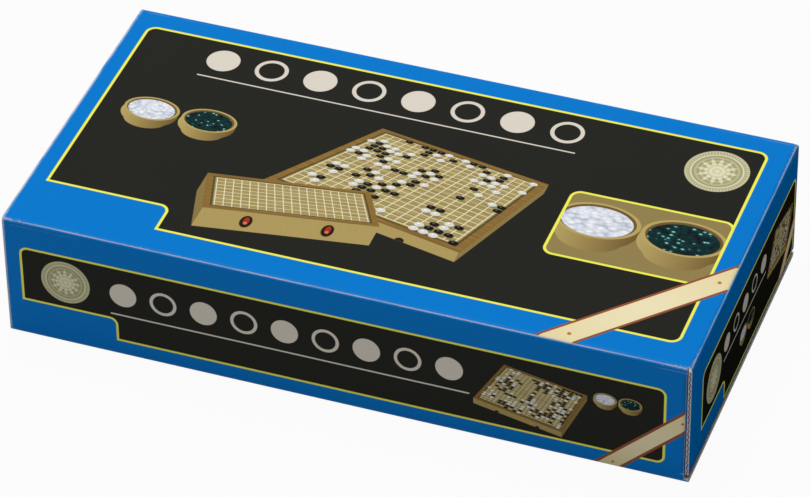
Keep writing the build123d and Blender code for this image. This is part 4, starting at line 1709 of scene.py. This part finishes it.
class Growth:
    """A geometry node tree with named inputs, whose result is kept as a plain mesh."""

    def __init__(self, name: str, **inputs: str) -> None:
        """Makes the tree.

        Args:
            name: the tree's name.
            inputs: the kind of socket of each input, after NodeSocket.
        """
        self.tree = bpy.data.node_groups.new(name, "GeometryNodeTree")
        new_socket = self.tree.interface.new_socket
        for label, kind in inputs.items():
            new_socket(label, in_out="INPUT", socket_type="NodeSocket" + kind)
        new_socket("Geometry", in_out="OUTPUT", socket_type="NodeSocketGeometry")
        self.start, self.end = self.node("NodeGroupInput"), self.node("NodeGroupOutput")

    def node(self, kind: str) -> Node:
        """A new node of the tree."""
        return self.tree.nodes.new(kind)

    def wire(self, *pairs: tuple[Socket, Socket]) -> None:
        """Joins sockets, each pair a source and a target."""
        for source, target in pairs:
            self.tree.links.new(source, target)

    def end_with(self, geometry: Socket, material: Socket) -> None:
        """Realizes the instances, sets the material and hands the geometry out.

        Args:
            geometry: what the tree has made.
            material: the input that holds the material.
        """
        realize = self.node("GeometryNodeRealizeInstances")
        dress = self.node("GeometryNodeSetMaterial")
        self.wire(
            (geometry, realize.inputs[0]),
            (realize.outputs[0], dress.inputs["Geometry"]),
            (material, dress.inputs["Material"]),
            (dress.outputs[0], self.end.inputs[0]),
        )


def grow(name: str, tree: Tree, values: dict[str, object]) -> Piece:
    """Runs a geometry node tree and keeps its result as a plain mesh.

    Args:
        name: the new piece's name.
        tree: the geometry node tree.
        values: its inputs by name.

    Returns:
        The piece, with no modifier left.
    """
    piece = put(name, bpy.data.meshes.new(name))
    modifier = piece.modifiers.new("Grow", "NODES")
    modifier.node_group = tree
    for item in tree.interface.items_tree:
        if item.in_out == "INPUT" and item.name in values:
            modifier[item.identifier] = values[item.name]
    graph = bpy.context.evaluated_depsgraph_get()
    grown = bpy.data.meshes.new_from_object(piece.evaluated_get(graph), depsgraph=graph)
    piece.modifiers.remove(modifier)
    piece.data = grown
    grown.name = name
    return piece


def dress_node(name: str, material: Material) -> None:
    """Gives a CAD node one material."""
    node = FRAME_NODES[name]
    node.data.materials.clear()
    node.data.materials.append(material)
    LOG.info("%s wears %s", name, material.name)


# ---- the wooden case and what it holds -------------------------------------------------------


@dataclass
class BoardCase:
    """The folding board case with its fittings, and the stone box with its stones."""

    effects: Effects
    pitch: float = 15.6 * MM
    rail_pale: Colour = ink(190, 154, 82)
    rail_dark: Colour = ink(112, 76, 32)
    panel_pale: Colour = ink(212, 196, 138)
    panel_dark: Colour = ink(150, 128, 72)

    def dress_rails(self) -> None:
        """Each rail has its own cut of wood, with the grain along it."""
        for number, half in enumerate(("upper", "lower")):
            for count, side in enumerate(("front", "fold", "left", "right")):
                grain = Grain.ALONG_X if side in ("front", "fold") else Grain.ALONG_Y
                seed = 3.1 * number + 1.7 * count + 0.4
                name = f"{half}_{side}_rail"
                wood = WoodFinish(name, grain, self.rail_pale, self.rail_dark, seed)
                dress_node(name, wood.build(self.effects))

    def dress_panels(self) -> None:
        """The two halves of the playing surface."""
        for half, side in (("upper", 1), ("lower", 0)):
            low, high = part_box(f"{half}_playing_panel")
            finish = PlayingFinish(
                f"{half}_playing_panel",
                Grain.ALONG_X,
                self.panel_pale,
                self.panel_dark,
                2.0 + side,
                pitch=self.pitch,
                middle_x=(low.x + high.x) / 2,
                fold_y=high.y,
                face_z=high.z if side else low.z,
            )
            dress_node(f"{half}_playing_panel", finish.build(self.effects))

    def dress_fittings(self) -> None:
        """Reddish brass latches, yellow brass hinges and steel screws."""
        latch = MetalFinish("latch_brass", ink(196, 98, 66), ink(120, 48, 34), 0.28).build()
        hinge = MetalFinish("hinge_brass", ink(206, 170, 96), ink(140, 104, 50), 0.3).build()
        steel = MetalFinish("screw_steel", ink(190, 190, 192), ink(130, 128, 126), 0.3).build()
        finishes = {
            "left_latch_hook": latch,
            "right_latch_hook": latch,
            "latch_pivot_screws": hinge,
            "latch_catch_screws": hinge,
            "upper_hinge_leaves": hinge,
            "lower_hinge_leaves": hinge,
            "hinge_pins": steel,
            "hinge_screws": steel,
        }
        for name, finish in finishes.items():
            dress_node(name, finish)

    def dress_stone_box(self) -> None:
        """The stone box: pale wood, the grain along each wall."""
        for part in ("tray", "lid"):
            for side, grain, seed in (("long", Grain.ALONG_X, 5.0), ("end", Grain.ALONG_Y, 6.0)):
                name = f"stone_{part}_{side}_walls"
                wood = WoodFinish(name, grain, self.panel_pale, self.rail_dark, seed)
                dress_node(name, wood.build(self.effects))
        plain = WoodFinish("stone_box_plain", Grain.ALONG_X, self.panel_pale, self.rail_dark, 9.0)
        material = plain.build(self.effects)
        for name in ("stone_tray_floor", "stone_tray_divider", "stone_lid_panel"):
            dress_node(name, material)

    def build(self) -> None:
        """Dresses the whole case and lays the stones."""
        self.dress_rails()
        self.dress_panels()
        self.dress_fittings()
        self.dress_stone_box()
        white = StoneFinish("white_glass", ink(238, 240, 248), ink(214, 220, 236)).build()
        dark = StoneFinish("dark_glass", ink(8, 34, 38), ink(2, 12, 16)).build()
        StoneHeap("white_stones", white).build()
        StoneHeap("dark_stones", dark).build()


@dataclass
class StoneHeap:
    """One colour of stones, laid in rows and layers by a node tree in the place of its CAD node."""

    node: str
    material: Material
    diameter: float = 12.0 * MM
    thickness: float = 4.5 * MM
    play: float = 0.1 * MM
    seed: int = 7

    def stone(self) -> Piece:
        """One domed stone, its pole at the origin."""
        around, steps = 16, 4
        maker = bmesh.new()
        rings = []
        for step in range(1, 2 * steps):
            height = self.thickness * step / (2 * steps)
            share = abs(height - self.thickness / 2) / (self.thickness / 2)
            radius = self.diameter / 2 * math.sqrt(max(0.0, 1 - share**1.7))
            ring = [
                maker.verts.new((radius * math.cos(a), radius * math.sin(a), height))
                for a in (2 * math.pi * number / around for number in range(around))
            ]
            rings.append(ring)
        foot, top = maker.verts.new((0, 0, 0)), maker.verts.new((0, 0, self.thickness))
        for number in range(around):
            after = (number + 1) % around
            maker.faces.new((foot, rings[0][after], rings[0][number]))
            maker.faces.new((top, rings[-1][number], rings[-1][after]))
            for lower, upper in zip(rings, rings[1:]):
                maker.faces.new((lower[number], lower[after], upper[after], upper[number]))
        for face in maker.faces:
            face.smooth = True
        mesh = bpy.data.meshes.new("one_stone")
        maker.to_mesh(mesh)
        maker.free()
        return bpy.data.objects.new("one_stone", mesh)

    def build(self) -> Piece:
        """Lays the stones.

        Returns:
            The piece.
        """
        low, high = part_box(self.node)
        size = high - low
        columns = round((size.x - self.diameter) / (self.diameter + self.play * 5)) + 1
        rows = round((size.y - self.diameter) / (self.diameter + self.play * 4)) + 1
        layer_height = self.thickness + self.play
        layers = round((size.z - self.thickness) / layer_height) + 1
        sizes = dict.fromkeys(("Width", "Length", "Layer"), "Float")
        growth = Growth("Stones in layers", **sizes, Stone="Object", Glass="Material")
        tree, start = growth.tree, growth.start.outputs
        floor, stack = growth.node("GeometryNodeMeshGrid"), growth.node("GeometryNodeMeshLine")
        floor.inputs["Vertices X"].default_value = columns
        floor.inputs["Vertices Y"].default_value = rows
        stack.inputs["Count"].default_value = layers
        on_layers, lay = (growth.node("GeometryNodeInstanceOnPoints") for _ in range(2))
        flatten = growth.node("GeometryNodeRealizeInstances")
        source = growth.node("GeometryNodeObjectInfo")
        turn = growth.node("FunctionNodeRandomValue")
        turn.data_type = "FLOAT"
        turn.inputs["Seed"].default_value = self.seed
        for socket, value in ((2, 0.0), (3, 2 * math.pi)):
            turn.inputs[socket].default_value = value
        growth.wire(
            (start["Width"], floor.inputs["Size X"]),
            (start["Length"], floor.inputs["Size Y"]),
            (combine(tree, 0.0, 0.0, Term(tree, start["Layer"])), stack.inputs["Offset"]),
            (stack.outputs[0], on_layers.inputs["Points"]),
            (floor.outputs[0], on_layers.inputs["Instance"]),
            (on_layers.outputs[0], flatten.inputs[0]),
            (start["Stone"], source.inputs["Object"]),
            (flatten.outputs[0], lay.inputs["Points"]),
            (source.outputs["Geometry"], lay.inputs["Instance"]),
            (combine(tree, 0.0, 0.0, Term(tree, turn.outputs[1])), lay.inputs["Rotation"]),
        )
        growth.end_with(lay.outputs[0], start["Glass"])
        values = {
            "Width": size.x - self.diameter,
            "Length": size.y - self.diameter,
            "Layer": layer_height,
            "Stone": self.stone(),
            "Glass": self.material,
        }
        piece = grow(self.node + "_laid", tree, values)
        middle = (low + high) / 2
        piece.data.transform(Matrix.Translation((middle.x, middle.y, low.z)))
        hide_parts(self.node)
        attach(piece, "go_case")
        LOG.info("%s: %d stones", piece.name, columns * rows * layers)
        return piece


# ---- the studio ------------------------------------------------------------------------------


@dataclass
class Studio:
    """A pale floor, soft lamps and the camera where the photographer's stood."""

    place: Vector = field(default_factory=lambda: Vector((0.57715, -1.57446, 1.39183)))
    looks: Vector = field(default_factory=lambda: Vector((-0.26683, 0.72805, -0.63146)))
    upwards: Vector = field(default_factory=lambda: Vector((-0.20450, 0.59752, 0.77533)))
    lens: float = 208.88
    sensor: float = 36.0
    floor_size: float = 6.0
    floor_drop: float = 0.2 * MM
    floor_tone: float = 0.45
    floor_glow: float = 0.95
    ambient: float = 0.15
    aim: Vector = field(default_factory=lambda: Vector((0, 0, 0.03)))

    def camera(self) -> None:
        """Sets the camera from its place, its line of sight and its upright."""
        data = bpy.data.cameras.new("camera")
        data.lens = self.lens
        data.sensor_width = self.sensor
        data.clip_start, data.clip_end = 0.05, 30.0
        camera = put("camera", data)
        back = -self.looks.normalized()
        right = self.upwards.cross(back).normalized()
        up = back.cross(right)
        rotation = Matrix((right, up, back)).transposed()
        camera.matrix_world = Matrix.Translation(self.place) @ rotation.to_4x4()
        bpy.context.scene.camera = camera

    def lamp(self, name: str, place: Point, size: float, power: float) -> None:
        """A square soft lamp aimed at the carton.

        Args:
            name: the lamp's name.
            place: where it hangs.
            size: its side, in metres.
            power: in watts.
        """
        data = bpy.data.lights.new(name, "AREA")
        data.shape = "SQUARE"
        data.size = size
        data.energy = power
        lamp = put(name, data)
        lamp.location = place
        lamp.rotation_mode = "QUATERNION"
        lamp.rotation_quaternion = (self.aim - Vector(place)).to_track_quat("-Z", "Y")

    @staticmethod
    def background_rays(tree: Tree) -> Term:
        """1 for the rays that see the surround: the camera's, off gloss and through glass."""
        path = tree.nodes.new("ShaderNodeLightPath")
        kinds = ("Camera", "Glossy", "Transmission")
        camera, glossy, through = (Term(tree, path.outputs[f"Is {kind} Ray"]) for kind in kinds)
        return camera.most(glossy).most(through)

    def floor(self) -> None:
        """A pale floor, near white to the camera, that keeps the carton's shadow."""
        maker = bmesh.new()
        bmesh.ops.create_grid(maker, x_segments=8, y_segments=8, size=self.floor_size)
        mesh = bpy.data.meshes.new("floor")
        maker.to_mesh(mesh)
        maker.free()
        floor = put("floor", mesh)
        floor.location.z = -self.floor_drop
        material, tree, shader = new_material("floor")
        shader.inputs["Base Color"].default_value = (*[self.floor_tone] * 3, 1.0)
        shader.inputs["Roughness"].default_value = 0.9
        shader.inputs["Specular IOR Level"].default_value = 0.0
        glow = tree.nodes.new("ShaderNodeEmission")
        glow.inputs["Color"].default_value = (1, 1, 1, 1)
        glow.inputs["Strength"].default_value = 1.0
        mix = tree.nodes.new("ShaderNodeMixShader")
        join(tree, self.background_rays(tree) * self.floor_glow, mix.inputs[0])
        join(tree, shader.outputs[0], mix.inputs[1])
        join(tree, glow.outputs[0], mix.inputs[2])
        join(tree, mix.outputs[0], tree.nodes["Material Output"].inputs["Surface"])
        mesh.materials.append(material)
        floor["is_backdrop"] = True

    def world(self) -> None:
        """An even surround, white where it is seen."""
        world = bpy.data.worlds.new("studio")
        bpy.context.scene.world = world
        world.use_nodes = True
        tree = world.node_tree
        background = tree.nodes["Background"]
        background.inputs["Color"].default_value = (1, 1, 1, 1)
        seen = self.background_rays(tree)
        join(tree, seen * (1.0 - self.ambient) + self.ambient, background.inputs["Strength"])

    def build(self) -> None:
        """Sets up the whole studio."""
        self.camera()
        self.floor()
        self.world()
        self.lamp("overhead", (-0.35, 0.5, 3.2), 2.4, 92.0)
        self.lamp("front_fill", (-1.6, -3.4, 1.2), 2.0, 26.0)
        bpy.context.scene.view_settings.view_transform = "Standard"


FRAME_NODES: dict[str, Piece] = {}


def main() -> None:
    """Builds the scene in order."""
    logging.basicConfig(level=logging.INFO, format="%(name)s: %(message)s")
    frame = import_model()
    cad_low, cad_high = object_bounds()
    FRAME_NODES.update(frame["nodes"])
    effects = Effects()
    Carton(cad_low, cad_high).build(effects)
    BoardCase(effects).build()
    Studio().build()


if __name__ == "__main__":
    main()
